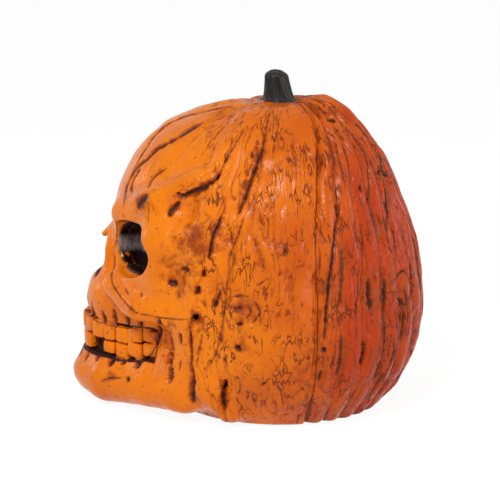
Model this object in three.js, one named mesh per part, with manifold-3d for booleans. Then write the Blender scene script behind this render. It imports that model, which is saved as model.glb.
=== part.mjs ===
// Halloween decoration: a hollow pumpkin rind with a skull face, its stem, lit eye cups and a battery base.
// Millimetres, +Z up, face towards -Y. Shapes are drawn round the stem's axis, with the base on Z = 0.
import * as THREE from 'three';
import { mergeVertices } from 'three/addons/utils/BufferGeometryUtils.js';
import Module from 'manifold-3d';

const wasm = await Module();
wasm.setup();

// Fits
const seatGap = 0.3;              // left where one piece rests on another
const seamGap = 0.3;              // between the two moulded shells
const runningGap = 0.4;           // round pieces that move or drop in

// Moulding of the shells
const wall = 3;
const floorThickness = 3;
const seamAngle = 68;             // degrees from the back to each seam, along the grooved rind's front edge
const seamMargin = 25;            // the parting's walls reach this far past the rind
const seamBend = [[100, 0], [118, 1.5], [137, 5], [152, 9.5], [166, 14]];    // height, and degrees drawn back

// Rind
const rindHalfWidth = 79;
const rindHalfDepth = 83.5;
const rindBelt = 57;              // height of the widest part
const rindRise = 117.7;           // belt to crown
const rindDrop = 78;              // belt to the underside that the flat base cuts off
const ribCount = 13;
const ribDepth = 2.4;
const foreheadGroove = 1.4;
const foreheadPitch = 13;         // degrees between the grooves above the brow
const foreheadRise = [120, 150];  // heights where those grooves begin and are full
const foreheadSide = [58, 75];    // degrees from the front where they begin to fade and end
const creaseSharpness = 0.5;
const ribEnd = [0.985, 1.03];     // where the ribs fade, as shares of the seam's angle
const grooveStart = [8, 26];      // from the stem's axis, where grooves begin and are full

// Skull forms, each with the width over which it melts into the rest
const rounds = {
  backLobe: { at: [0, 11.5, 107], radii: [58, 53.5, 72.5], melt: 8 },
  browVault: { at: [0, -25, 106], radii: [60, 69, 67], melt: 10 },
  temple: { at: [0, -47, 86], radii: [62, 46, 44], melt: 8 },
  innerCheek: { at: [0, -46, 36], radii: [50, 46, 40], melt: 10 },
  upperJaw: { at: [0, -75, 59], radii: [31, 36.5, 26], melt: 8 },
  gums: { at: [0, -62, 41], radii: [31.5, 51, 17], melt: 4 },
  mandible: { at: [0, -78, 29], radii: [29, 36, 18], melt: 6 },
  chin: { at: [0, -94, 15], radii: [29, 26.5, 16.5], melt: 8 },
};
const bones = {
  rindEdge: {
    points: [[8, -8, 168], [30, -15, 165], [45, -20, 154], [57, -26, 133], [63, -31, 110], [65.5, -34, 88],
      [64, -37, 71], [61.5, -38, 52], [60, -31, 27], [56.5, -20, 12]],
    radii: [6, 8, 9, 9.5, 9.5, 9.5, 9.5, 9.5, 9.5, 10],
    melt: 4,
  },
  brow: {
    points: [[7, -84.5, 108], [28, -82.5, 113], [48, -64, 122], [56, -36, 138]],
    radii: [5.5, 8.5, 9, 6],
    melt: 7,
  },
  orbitRim: { points: [[51, -57, 112], [55, -55, 80]], radii: [8, 9], melt: 10 },
  cheekbone: { points: [[31, -89, 72], [51, -70, 61], [62, -42, 65]], radii: [7, 9.5, 8], melt: 7 },
  jaw: { points: [[22, -94, 15], [46, -52, 17], [56, -32, 22]], radii: [13, 13, 10], melt: 8 },
  jawTendon: { points: [[56, -44, 58], [52, -46, 14]], radii: [6, 8], melt: 7 },
  noseBone: { points: [[0, -85, 107], [0, -99.4, 95]], radii: [6, 3.6], melt: 4 },
  noseWall: { points: [[4, -94.5, 97], [9.5, -95, 88], [11.5, -94.5, 76]], radii: [3.5, 4.6, 5], melt: 3 },
};
const hollows = {
  stemDimple: { at: [0, 0, 184], radii: [24, 24, 11], melt: 8 },
  noseOpening: { at: [5, -103, 82], radii: [6, 15, 11.5], melt: 3 },
  underCheek: { at: [54, -72, 44], radii: [15, 20, 13], melt: 8 },
};
const noseSplay = 14;             // degrees that each half of the nose leans from upright

// Carved lines: places near the skin that each one passes, its half width and its depth
const creases = {
  frown: { path: [[43, -13, 165], [53, -18, 157], [59, -23, 149], [62, -27, 141]], half: 2, depth: 2 },
  lobeGroove: { path: [[39, -4, 162], [51, -6, 149], [60, -10, 134], [66, -15, 121]], half: 1.8, depth: 1.8 },
  cheekUnder: { path: [[52, -80, 68], [60, -72, 64], [65, -59, 62], [70, -48, 63]], half: 1.7, depth: 1.6 },
  jawLine: { path: [[70, -41, 46], [68, -38, 29], [67, -31, 16]], half: 1.8, depth: 1.8 },
  jawHollow: { path: [[46, -55, 44], [54, -55, 34], [57, -55, 25]], half: 2.5, depth: 2 },
};
const creaseTip = 0.12;           // least share of a carved line's section, at its ends

// Mouth: the arch that the teeth stand on, from its middle outwards, and the gum and bite heights along it
const archLine = [[0, -112.2], [7, -110.2], [13, -106.2], [18, -101], [22.4, -94.6], [26, -88],
  [30.6, -80.4], [34.8, -73.9], [37.6, -67.2], [39.6, -61]];
const toothEdges = [0, 8, 16, 26.6, 35.4, 44.8, 55.6, 64.9];    // along the arch
const toothRows = {
  upper: {
    gum: [50.5, 49.4, 47.4, 46.8, 47.2, 47.6, 48],
    bite: [39.6, 39.2, 37.6, 37.4, 38.1, 39.6, 41],
  },
  lower: {
    gum: [30.6, 30.2, 29.6, 29.8, 28.8, 30.4, 32.6],
    bite: [38.8, 38.4, 36.9, 36.7, 37.4, 38.9, 40.3],
  },
};
const lostTooth = { row: 'lower', side: 1, place: 2 };
const mouthRecess = 2.6;          // floor of the mouth behind the arch
const mouthMargin = 0.5;          // gum line beyond the crowns
const mouthReach = 14;            // the recess is cut this far outwards
const toothProud = 2.5;           // crowns in front of the arch
const toothRoot = 1;              // crowns sunk into the mouth's floor
const toothParting = 0.8;
const toothBevel = 1.2;
const toothNick = 0.45;           // corners taken off at the bite, as a share of the smaller half

// Eyes
const eyeAt = { x: 39, y: -79, z: 94.5 };
const eyeYaw = 40;                // degrees outwards from straight ahead
const eyeHalfWidth = 17.5;
const eyeHalfHeight = 13;
const eyeRecess = 9;              // dish round the opening
const eyeDishMargin = 2.5;
const cupWall = 1.6;
const cupDepth = 17;
const cupLip = 0.6;               // how far the cup stands wider than the opening
const sleeveLength = 5;
const sleeveWall = 1.6;

// Light-emitting diodes and their twin leads
const ledRadius = 2.5;
const ledLength = 8.6;
const ledFlange = 2.9;
const ledFlangeThickness = 1;
const leadDiameter = 2.2;
const leadSides = 8;              // facets round a lead
const leadBend = 8;               // straight run behind each diode
const leadRise = 7;               // above the board, before a lead comes down to it
const leadPadX = 16;
const leadRun = [[13, -36, 86], [15, -28, 68], [16, -18, 50], [16, -8, 37]];

// Stem
const stemHeight = 19;
const stemBaseRadius = 10.2;
const stemTopRadius = 6.4;
const stemLean = 2;
const stemDome = 5.3;             // rounded over at the top
const fluteCount = 7;
const fluteDepth = 0.9;
const spigotRadius = 4.5;
const crownRim = 0.8;             // seat beyond the stem's foot
const crownDepth = 11;
const seatSink = 1;               // the seat is milled this far into the crown

// Screws and washer
const washerRadius = 9;
const washerThickness = 1.5;
const shankRadius = 1.3;
const headRadius = 2.8;
const headHeight = 1.6;
const stemScrewLength = 14;
const caseScrewLength = 12.5;
const screwGrip = 2;              // pilot left past the tip
const headSink = 0.1;             // case screws' heads above the flange's underside
const bossWall = 2.5;

// Cells and contacts
const cellRadius = 7.25;
const cellLength = 50.5;
const nippleRadius = 2.75;
const nippleLength = 1.3;
const springLength = 5.2;
const springTurns = 3.5;
const springWire = 0.8;
const springSides = 5;            // facets round the wire
const springBaseRadius = 5.2;
const springTipRadius = 3.2;
const plateThickness = 0.5;
const plateWidth = 12;
const plateHeight = 12;
const tabWidth = 4;

// Battery case and door
const caseWall = 1.8;
const roofThickness = 1.6;
const flangeThickness = 2.4;
const flangeMargin = 12;          // from the box to the flange's edge
const flangeCorner = 6;
const baseRelief = 0.5;           // underside of case and door above the table
const padHeight = 2.8;            // shell left above the flange
const padRim = 3.5;
const doorThickness = 2;
const barrelRadius = 1.7;
const pinRadius = 1;
const hingeSwing = 0.5;           // room behind the barrel for the door's swing
const barrelLift = 0.2;
const tongueHeight = 2.5;
const tongueThickness = 1.2;
const tongueWidth = 14;

// Switch
const switchTravel = 4;
const knobLength = 3.2;
const knobWidth = 2.6;
const slideLength = 6;
const slideWidth = 4.4;
const slideHeight = 2.5;
const switchWall = 1;
const switchToBox = 6;            // clear space between the switch and the battery box
const clipThickness = 1.2;

// Circuit board
const boardThickness = 1.2;
const boardInset = 1;             // board's edge inside the box's edge
const boardWidth = 24;
const blobRadius = 5;
const blobHeight = 2;
const pegRadius = 1.2;
const pegInset = 5;

// Sizes that follow
const cellPitch = 2 * cellRadius + 2 * seatGap;
const contactDepth = seatGap + plateThickness + seatGap;
const boxInnerLength = 2 * contactDepth + springLength + seatGap + cellLength;
const boxInnerWidth = cellPitch + 2 * cellRadius + 2 * runningGap;
const boxLength = boxInnerLength + 2 * caseWall;
const boxWidth = boxInnerWidth + 2 * caseWall;
const doorTop = baseRelief + doorThickness;
const cellZ = doorTop + runningGap + cellRadius;
const roofUnder = cellZ + cellRadius + runningGap;
const roofTop = roofUnder + roofThickness;
const flangeTop = baseRelief + flangeThickness;
const switchLength = slideLength + switchTravel + 2 * runningGap + 2 * switchWall;
const switchWidth = slideWidth + 2 * runningGap + 2 * switchWall;
const switchBottom = flangeTop + seatGap;
const switchTop = switchBottom + slideHeight + runningGap + switchWall;
const flangeLength = boxLength + 2 * flangeMargin;
const switchSide = switchToBox + switchWidth + switchToBox;
const flangeWidth = boxWidth + flangeMargin / 2 + switchSide;
const boxY = flangeWidth / 2 - flangeMargin / 2 - boxWidth / 2;
const switchY = boxY - boxWidth / 2 - switchToBox - switchWidth / 2;
const screwX = flangeLength / 2 - flangeCorner;
const screwY = flangeWidth / 2 - flangeCorner;
const rebateTop = flangeTop + seatGap;
const padTop = rebateTop + padHeight;
const bossRadius = shankRadius + seatGap + bossWall;
const caseScrewBottom = baseRelief + headSink;
const bossTop = caseScrewBottom + caseScrewLength + screwGrip + floorThickness;
const hingeY = boxY + boxInnerWidth / 2 - hingeSwing - barrelRadius;
const hingeZ = baseRelief + barrelRadius + barrelLift;
const boardBottom = roofTop + seatGap;
const boardTop = boardBottom + boardThickness;
const boardLength = boxLength - 2 * boardInset;
const plateX = boxInnerLength / 2 - seatGap - plateThickness / 2;
const crownRadius = stemBaseRadius + crownRim;

// Small tools for points and closed meshes
const radians = THREE.MathUtils.degToRad;
const vector = (x, y, z) => new THREE.Vector3(x, y, z);

function signedVolume(points, index) {
  let sum = 0;
  for (let i = 0; i < index.length; i += 3) {
    const [a, b, c] = [points[index[i]], points[index[i + 1]], points[index[i + 2]]];
    sum += a.dot(b.clone().cross(c));
  }
  return sum / 6;
}

function closedMesh(points, index) {
  const order = signedVolume(points, index) < 0 ? index.slice().reverse() : index;
  const geometry = new THREE.BufferGeometry().setFromPoints(points);
  geometry.setIndex(order);
  return geometry;
}

// Rings of equal count, joined in turn, with a middle point closing each end
function loft(rings) {
  const count = rings[0].length;
  const points = rings.flat();
  const index = [];
  for (let row = 0; row < rings.length - 1; row += 1) {
    for (let i = 0; i < count; i += 1) {
      const a = row * count + i;
      const b = row * count + ((i + 1) % count);
      index.push(a, b, b + count, a, b + count, a + count);
    }
  }
  const ends = [rings[0], rings[rings.length - 1]];
  ends.forEach((ring, end) => {
    const middle = ring.reduce((sum, p) => sum.add(p), vector(0, 0, 0)).divideScalar(count);
    const start = end * (rings.length - 1) * count;
    const hub = points.push(middle) - 1;
    for (let i = 0; i < count; i += 1) {
      const pair = [start + i, start + ((i + 1) % count)];
      index.push(hub, pair[1 - end], pair[end]);
    }
  });
  return closedMesh(points, index);
}

function welded(geometry) {
  const bare = geometry.clone();
  bare.deleteAttribute('normal');
  bare.deleteAttribute('uv');
  const merged = mergeVertices(bare);
  const old = merged.getIndex().array;
  const kept = [];
  for (let i = 0; i < old.length; i += 3) {
    const [a, b, c] = [old[i], old[i + 1], old[i + 2]];
    if (a !== b && b !== c && c !== a) kept.push(a, b, c);
  }
  const place = merged.getAttribute('position');
  const points = Array.from({ length: place.count }, (_, i) => vector(0, 0, 0).fromBufferAttribute(place, i));
  return closedMesh(points, kept);
}

function solid(geometry) {
  const mesh = welded(geometry);
  const vertProperties = new Float32Array(mesh.getAttribute('position').array);
  const triVerts = new Uint32Array(mesh.getIndex().array);
  return new wasm.Manifold(new wasm.Mesh({ numProp: 3, vertProperties, triVerts }));
}

function surface(body) {
  const mesh = body.getMesh();
  const geometry = new THREE.BufferGeometry();
  geometry.setAttribute('position', new THREE.BufferAttribute(mesh.vertProperties, 3));
  geometry.setIndex(new THREE.BufferAttribute(mesh.triVerts, 1));
  return geometry;
}

const joined = (bodies) => bodies.reduce((whole, body) => whole.add(body));
const cutBy = (body, tools) => tools.reduce((left, tool) => left.subtract(tool), body);

// A profile of radius and height, turned round Z
function revolved(profile, segments, low = 0) {
  const geometry = new THREE.LatheGeometry(profile.map(([r, z]) => new THREE.Vector2(r, z)), segments);
  return geometry.rotateX(Math.PI / 2).translate(0, 0, low);
}

function drum(radius, low, high, segments = 20) {
  return revolved([[0, low], [radius, low], [radius, high], [0, high]], segments);
}

const rodAlongX = (radius, from, to, segments = 14) => drum(radius, from, to, segments).rotateY(Math.PI / 2);

function block(length, width, low, high, x = 0, y = 0) {
  return new THREE.BoxGeometry(length, width, high - low).translate(x, y, (low + high) / 2);
}

function roundedPlate(length, width, corner, low, high) {
  const [a, b] = [length / 2 - corner, width / 2 - corner];
  const shape = new THREE.Shape();
  shape.absarc(a, b, corner, 0, Math.PI / 2);
  shape.absarc(-a, b, corner, Math.PI / 2, Math.PI);
  shape.absarc(-a, -b, corner, Math.PI, 1.5 * Math.PI);
  shape.absarc(a, -b, corner, 1.5 * Math.PI, 2 * Math.PI);
  const straight = { depth: high - low, bevelEnabled: false, curveSegments: 3 };
  return new THREE.ExtrudeGeometry(shape, straight).translate(0, 0, low);
}

function lead(points, steps) {
  const ring = Array.from({ length: leadSides }, (_, i) => {
    const angle = (2 * Math.PI * i) / leadSides;
    return new THREE.Vector2(Math.cos(angle), Math.sin(angle)).multiplyScalar(leadDiameter / 2);
  });
  const sweep = { steps, extrudePath: new THREE.CatmullRomCurve3(points), bevelEnabled: false };
  return welded(new THREE.ExtrudeGeometry(new THREE.Shape(ring), sweep));
}

// Distances to the sculpted forms
function toRound(x, y, z, { at, radii }) {
  const [u, v, w] = [(x - at[0]) / radii[0], (y - at[1]) / radii[1], (z - at[2]) / radii[2]];
  const near = Math.hypot(u, v, w) + 1e-9;
  return (near * (near - 1)) / (Math.hypot(u / radii[0], v / radii[1], w / radii[2]) + 1e-9);
}

function toBone(x, y, z, { points, radii }) {
  let least = Infinity;
  for (let i = 0; i < points.length - 1; i += 1) {
    const [a, b] = [points[i], points[i + 1]];
    const [dx, dy, dz] = [b[0] - a[0], b[1] - a[1], b[2] - a[2]];
    const along = ((x - a[0]) * dx + (y - a[1]) * dy + (z - a[2]) * dz) / (dx * dx + dy * dy + dz * dz);
    const t = Math.min(Math.max(along, 0), 1);
    const reach = Math.hypot(x - a[0] - t * dx, y - a[1] - t * dy, z - a[2] - t * dz);
    least = Math.min(least, reach - radii[i] - (radii[i + 1] - radii[i]) * t);
  }
  return least;
}

function melted(a, b, width) {
  const h = Math.min(Math.max(0.5 + (0.5 * (b - a)) / width, 0), 1);
  return b * (1 - h) + a * h - width * h * (1 - h);
}

const hollowed = (a, b, width) => -melted(-a, b, width);
const eased = THREE.MathUtils.smoothstep;

// Degrees from the back to each seam, at a height
function seamAt(z) {
  const next = seamBend.findIndex(([height]) => height > z);
  if (next === 0) return seamAngle - seamBend[0][1];
  if (next < 0) return seamAngle - seamBend[seamBend.length - 1][1];
  const [low, high] = [seamBend[next - 1], seamBend[next]];
  return seamAngle - THREE.MathUtils.mapLinear(z, low[0], high[0], low[1], high[1]);
}

// Grooves between the rind's ribs at the back, and shallow ones above the brow
function grooves(x, y, z) {
  const fromBack = Math.abs(Math.atan2(x, y));
  const edge = radians(seamAt(z));
  const rib = Math.abs(Math.sin(Math.PI * ribCount * (fromBack / edge + 1) / 2));
  const back = 1 - eased(fromBack, edge * ribEnd[0], edge * ribEnd[1]);
  const fromFront = Math.PI - fromBack;
  const crease = Math.abs(Math.cos((Math.PI * fromFront) / radians(foreheadPitch) / 2));
  const front = eased(z, ...foreheadRise) * (1 - eased(fromFront, ...foreheadSide.map(radians)));
  const ribs = back * (1 - rib) * ribDepth;
  const lines = front * (1 - crease ** creaseSharpness) * foreheadGroove;
  return eased(Math.hypot(x, y), ...grooveStart) * (ribs + lines);
}

const rindUpper = { at: [0, 0, rindBelt], radii: [rindHalfWidth, rindHalfDepth, rindRise] };
const rindLower = { at: [0, 0, rindBelt], radii: [rindHalfWidth, rindHalfDepth, rindDrop] };
const eyeDish = {
  at: [0, 0, 0],
  radii: [eyeHalfWidth + eyeDishMargin, eyeHalfHeight + eyeDishMargin, eyeRecess],
};
const underBase = 6;              // the skin is drawn this far below the table, then cut flat

// The solid head, and the same head with its eye dishes and nose opened
function head(xSigned, y, z) {
  const x = Math.abs(xSigned);
  let d = toRound(x, y, z, z > rindBelt ? rindUpper : rindLower);
  for (const part of [rounds.backLobe, rounds.browVault]) d = melted(d, toRound(x, y, z, part), part.melt);
  d = hollowed(d, toRound(x, y, z, hollows.stemDimple), hollows.stemDimple.melt);
  for (const part of [rounds.temple, rounds.innerCheek]) d = melted(d, toRound(x, y, z, part), part.melt);
  for (const part of Object.values(bones)) d = melted(d, toBone(x, y, z, part), part.melt);
  for (const part of [rounds.upperJaw, rounds.gums]) d = melted(d, toRound(x, y, z, part), part.melt);
  for (const part of [rounds.mandible, rounds.chin]) d = melted(d, toRound(x, y, z, part), part.melt);
  d = hollowed(d, toRound(x, y, z, hollows.underCheek), hollows.underCheek.melt);
  return Math.max(d + grooves(xSigned, y, z), -z - underBase);
}

function openedHead(xSigned, y, z) {
  const yaw = radians(eyeYaw);
  const [x, ex, ey] = [Math.abs(xSigned), Math.abs(xSigned) - eyeAt.x, y - eyeAt.y];
  const across = ex * Math.cos(yaw) + ey * Math.sin(yaw);
  const outwards = ex * Math.sin(yaw) - ey * Math.cos(yaw);
  const dish = toRound(across, z - eyeAt.z, outwards, eyeDish);
  return Math.max(head(xSigned, y, z), -dish, -toRound(x, y, z, hollows.noseOpening));
}

// Skin of the blended forms, read along rays from a hub on the stem's axis
const hubZ = 56;
const farOut = 165;
const leastStep = 1.5;

function skinRadius(form, polar, fromBack) {
  const [dx, dy] = [Math.sin(polar) * Math.sin(fromBack), Math.sin(polar) * Math.cos(fromBack)];
  const dz = Math.cos(polar);
  const at = (r) => form(dx * r, dy * r, hubZ + dz * r);
  let outer = farOut;
  let inner = outer;
  for (let clear = at(inner); clear > 0; clear = at(inner)) {
    outer = inner;
    inner -= Math.max(leastStep, clear / 2);
  }
  for (let i = 0; i < 14; i += 1) {
    const middle = (inner + outer) / 2;
    if (at(middle) > 0) outer = middle;
    else inner = middle;
  }
  return inner;
}

function spread(from, to, count) {
  return Array.from({ length: count }, (_, i) => from + ((to - from) * (i + 1)) / count);
}

// Columns follow the ribs and the seam at the back, and lie closer over the face
const cheekAngle = 133;

function skinColumns(row) {
  const polar = radians(row);
  const seam = seamAt(hubZ + skinRadius(head, polar, radians(seamAngle)) * Math.cos(polar));
  const back = [0, ...spread(0, seam, ribCount)];
  const half = [...back, ...spread(seam, cheekAngle, 8), ...spread(cheekAngle, 180, 14)];
  return [...half.slice(1, -1).reverse().map((angle) => -angle), ...half];
}

const lastRow = 140;              // degrees from straight up to the ring below the table
const browRow = 48;
const chinRow = 120;
const skinRows = [...spread(0, browRow, 6), ...spread(browRow, chinRow, 21), ...spread(chinRow, lastRow, 2)];

function starSkin(rows, columnsAt, radiusAt) {
  const onRay = (polar, turn) => {
    const r = radiusAt(polar, turn);
    const level = r * Math.sin(polar);
    return vector(level * Math.sin(turn), level * Math.cos(turn), hubZ + r * Math.cos(polar));
  };
  const points = rows.flatMap((row) => columnsAt(row).map((turn) => onRay(radians(row), radians(turn))));
  const top = points.push(onRay(0, 0)) - 1;
  const bottom = points.push(vector(0, 0, -underBase)) - 1;
  const count = columnsAt(lastRow).length;
  const index = [];
  for (let i = 0; i < count; i += 1) {
    const next = (i + 1) % count;
    index.push(top, i, next);
    for (let row = 0; row < rows.length - 1; row += 1) {
      const [a, b] = [row * count + i, row * count + next];
      index.push(a, a + count, b + count, a, b + count, b);
    }
    const last = (rows.length - 1) * count;
    index.push(bottom, last + next, last + i);
  }
  return closedMesh(points, index);
}

// The hollow keeps at least the wall's thickness under the lowest skin round each of its rays
const hollowRowCount = 14;
const hollowColumnCount = 28;
const hollowRows = spread(0, lastRow, hollowRowCount);
const hollowColumns = () => spread(-180, 180, hollowColumnCount);
const rowReach = radians(lastRow / hollowRowCount / 3);
const columnReach = radians(360 / hollowColumnCount / 3);
const leastSkin = new Map();

function lowestSkin(polar, turn) {
  const key = `${polar.toFixed(5)} ${turn.toFixed(5)}`;
  if (!leastSkin.has(key)) {
    const nearby = [-2, -1, 0, 1, 2].flatMap((i) => [-2, -1, 0, 1, 2].map((j) =>
      skinRadius(openedHead, Math.abs(polar + i * rowReach), turn + j * columnReach)));
    leastSkin.set(key, Math.min(...nearby));
  }
  return leastSkin.get(key);
}

function hollow(depth, low) {
  const inside = solid(starSkin(hollowRows, hollowColumns, (polar, turn) => lowestSkin(polar, turn) - depth));
  return inside.intersect(solid(block(2 * farOut, 2 * farOut, low, 2 * farOut))).subtract(mouth(depth));
}

// The arch from one end to the other, and places on it measured from the middle
const archSide = (side) => archLine.map(([x, y]) => vector(side * x, y, 0));
const arch = new THREE.CatmullRomCurve3([...archSide(-1).slice(1).reverse(), ...archSide(1)]);

function onArch(along) {
  const share = THREE.MathUtils.clamp(0.5 + along / arch.getLength(), 0, 1);
  const way = arch.getTangentAt(share);
  return { at: arch.getPointAt(share), way, outwards: vector(way.y, -way.x, 0) };
}

// The mouth's recess, from gum line to gum line, or that recess with a wall round it
function mouth(grow) {
  const lastPlace = toothEdges.length - 2;
  const heightAt = (row, edge) => (row.gum[Math.max(edge - 1, 0)] + row.gum[Math.min(edge, lastPlace)]) / 2;
  const section = (edge, side) => {
    const end = edge === lastPlace + 1 ? grow : 0;
    const { at, outwards } = onArch(side * (toothEdges[edge] + end));
    const inner = at.clone().addScaledVector(outwards, -mouthRecess - grow);
    const outer = at.clone().addScaledVector(outwards, mouthReach);
    const low = heightAt(toothRows.lower, edge) - mouthMargin - grow;
    const high = heightAt(toothRows.upper, edge) + mouthMargin + grow;
    return [[inner, low], [inner, high], [outer, high], [outer, low]].map(([p, z]) => vector(p.x, p.y, z));
  };
  const edges = toothEdges.map((_, i) => i);
  const farSide = edges.slice(1).reverse().map((edge) => section(edge, -1));
  return solid(loft([...farSide, ...edges.map((edge) => section(edge, 1))]));
}

// Teeth: blocks set square to the arch, rooted in the mouth's floor and bevelled in front
function tooth(side, place, { gum, bite }) {
  const { at, way, outwards } = onArch((side * (toothEdges[place] + toothEdges[place + 1])) / 2);
  const half = (toothEdges[place + 1] - toothEdges[place] - toothParting) / 2;
  const height = Math.abs(bite[place] - gum[place]);
  const nick = Math.min(half, height / 2) * toothNick;
  const up = Math.sign(bite[place] - gum[place]);
  const ring = (inset, out) => {
    const [wide, high] = [half - inset, height - inset];
    const outline = [[wide, inset], [wide, high - nick], [wide - nick, high], [nick - wide, high],
      [-wide, high - nick], [-wide, inset]];
    return outline.map(([a, b]) => vector(at.x, at.y, gum[place] + up * b)
      .addScaledVector(way, a).addScaledVector(outwards, out));
  };
  const shoulder = toothProud - toothBevel;
  return solid(loft([ring(0, -mouthRecess - toothRoot), ring(0, shoulder), ring(toothBevel, toothProud)]));
}

function rowOfTeeth(name) {
  const places = toothEdges.slice(1).map((_, place) => place);
  const lost = (side, place) =>
    name === lostTooth.row && side === lostTooth.side && place === lostTooth.place;
  return [1, -1].flatMap((side) => places.filter((place) => !lost(side, place))
    .map((place) => tooth(side, place, toothRows[name])));
}

const teeth = Object.keys(toothRows).flatMap(rowOfTeeth);

// The way out of the skin near a point, by small steps in the distance to the head
function slope({ x, y, z }) {
  const step = 0.5;
  return vector(head(x + step, y, z) - head(x - step, y, z), head(x, y + step, z) - head(x, y - step, z),
    head(x, y, z + step) - head(x, y, z - step)).normalize();
}

// A carved line: a tapered V swept along its places and seated on the skin
function crease({ path, half, depth }, side) {
  const curve = new THREE.CatmullRomCurve3(path.map(([x, y, z]) => vector(x * side, y, z)));
  const rings = [0, ...spread(0, 1, path.length + 1)].map((t) => {
    const p = curve.getPoint(t);
    for (let i = 0; i < 3; i += 1) p.addScaledVector(slope(p), -head(p.x, p.y, p.z));
    const up = slope(p);
    const across = curve.getTangent(t).cross(up).normalize();
    const size = Math.sqrt(Math.max(4 * t * (1 - t), creaseTip));
    return [[1.5 * half, depth / 2], [0, -depth], [-1.5 * half, depth / 2]].map(([a, b]) =>
      p.clone().addScaledVector(across, a * size).addScaledVector(up, b * size));
  });
  return solid(loft(rings));
}

const carving = Object.values(creases).flatMap((line) => [crease(line, 1), crease(line, -1)]);

// Eye frames: across, up and outwards, mirrored by the sign of the side
function eyeFrame(side) {
  const yaw = radians(eyeYaw) * side;
  const frame = new THREE.Matrix4().makeBasis(
    vector(Math.cos(yaw), Math.sin(yaw), 0), vector(0, 0, 1), vector(Math.sin(yaw), -Math.cos(yaw), 0));
  return frame.setPosition(eyeAt.x * side, eyeAt.y, eyeAt.z);
}

const cupRear = -eyeRecess - cupDepth;       // deepest point of the cup's bowl, along the eye's axis
const sleeveRear = cupRear - cupWall - sleeveLength;
const cupReach = 16;                          // straight side of the cup before the shell trims it

// A rounded bowl on the eye's axis, straight-sided from its mouth outwards
function bowl(side, grow, reach) {
  const [across, up] = [eyeHalfWidth + cupLip + grow, eyeHalfHeight + cupLip + grow];
  const quarter = spread(0, 90, 3).map((angle) => [Math.sin(radians(angle)), -Math.cos(radians(angle))]);
  const deep = cupDepth + grow;
  const profile = [[0, -deep], ...quarter.map(([r, z]) => [r, z * deep]), [1, reach], [0, reach]];
  const geometry = revolved(profile, 16, -eyeRecess).scale(across, up, 1);
  return solid(geometry.applyMatrix4(eyeFrame(side)));
}

const cupSpace = hollow(wall + seatGap, floorThickness);

function eyeCup(side) {
  const onAxis = (geometry) => solid(geometry.applyMatrix4(eyeFrame(side)));
  const sleeve = onAxis(drum(ledRadius + runningGap + sleeveWall, sleeveRear, cupRear, 16));
  const bore = onAxis(drum(ledRadius + runningGap, sleeveRear - 1, cupRear + cupDepth / 2, 16));
  const cup = bowl(side, cupWall, cupReach).add(sleeve);
  return cutBy(cup, [bowl(side, 0, cupReach + 1), bore]).intersect(cupSpace);
}

// What opens the face: each eye's dish and bowl, and the two sides of the nose
function eyeOpening(side) {
  const dish = new THREE.SphereGeometry(1, 16, 6).rotateX(Math.PI / 2).scale(...eyeDish.radii);
  return solid(dish.applyMatrix4(eyeFrame(side))).add(bowl(side, -cupLip, farOut));
}

function nostril(side) {
  const { at, radii } = hollows.noseOpening;
  const half = new THREE.SphereGeometry(1, 12, 6).scale(...radii).rotateY(-side * radians(noseSplay));
  return solid(half.translate(side * at[0], at[1], at[2]));
}

// Diode: flange behind the sleeve, dome showing in the bowl
const diodeRear = sleeveRear - seatGap - ledFlangeThickness;

function diode(side) {
  const profile = [[0, 0], [ledFlange, 0], [ledFlange, ledFlangeThickness], [ledRadius, ledFlangeThickness],
    [ledRadius, ledLength - ledRadius], [ledRadius * 0.7, ledLength - ledRadius * 0.3], [0, ledLength]];
  return revolved(profile, 12, diodeRear).applyMatrix4(eyeFrame(side));
}

// Seams: two walls that meet on the stem's axis and draw back near the top, a wedge of rind behind them
const seamReach = rindHalfWidth + seamMargin;

function backWedge(grow) {
  const outline = (height) => {
    const turn = radians(seamAt(height));
    const apex = -grow / Math.sin(turn);
    const [x, y] = [seamReach * Math.sin(turn), seamReach * Math.cos(turn) + apex];
    const corners = [[0, apex], [x, y], [x, 3 * farOut], [-x, 3 * farOut], [-x, y]];
    return corners.map(([a, b]) => vector(a, b, height));
  };
  const [lowest, highest] = [seamBend[0][0], seamBend[seamBend.length - 1][0]];
  const levels = [-underBase, lowest, ...spread(lowest, highest, 12), 2 * farOut];
  return solid(loft(levels.map(outline)));
}

// Shells: skin and teeth, hollowed, with the stem's crown, the base's pad and the screw bosses moulded in
const seatZ = hubZ + skinRadius(head, 0, 0) - seatSink;
const crownUnder = seatZ - crownDepth;
const screwPlaces = [[screwX, screwY], [-screwX, screwY], [-screwX, -screwY], [screwX, -screwY]];
const pilotRadius = shankRadius + seatGap;

function countersunk(grow, low, high) {
  const flare = caseScrewBottom + headHeight;
  return [[0, low], [headRadius + grow, low], [headRadius + grow, caseScrewBottom + grow],
    [shankRadius + grow, flare + grow], [shankRadius + grow, high], [0, high]];
}

const closedRadius = (polar, turn) => skinRadius(head, polar, turn);

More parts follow.
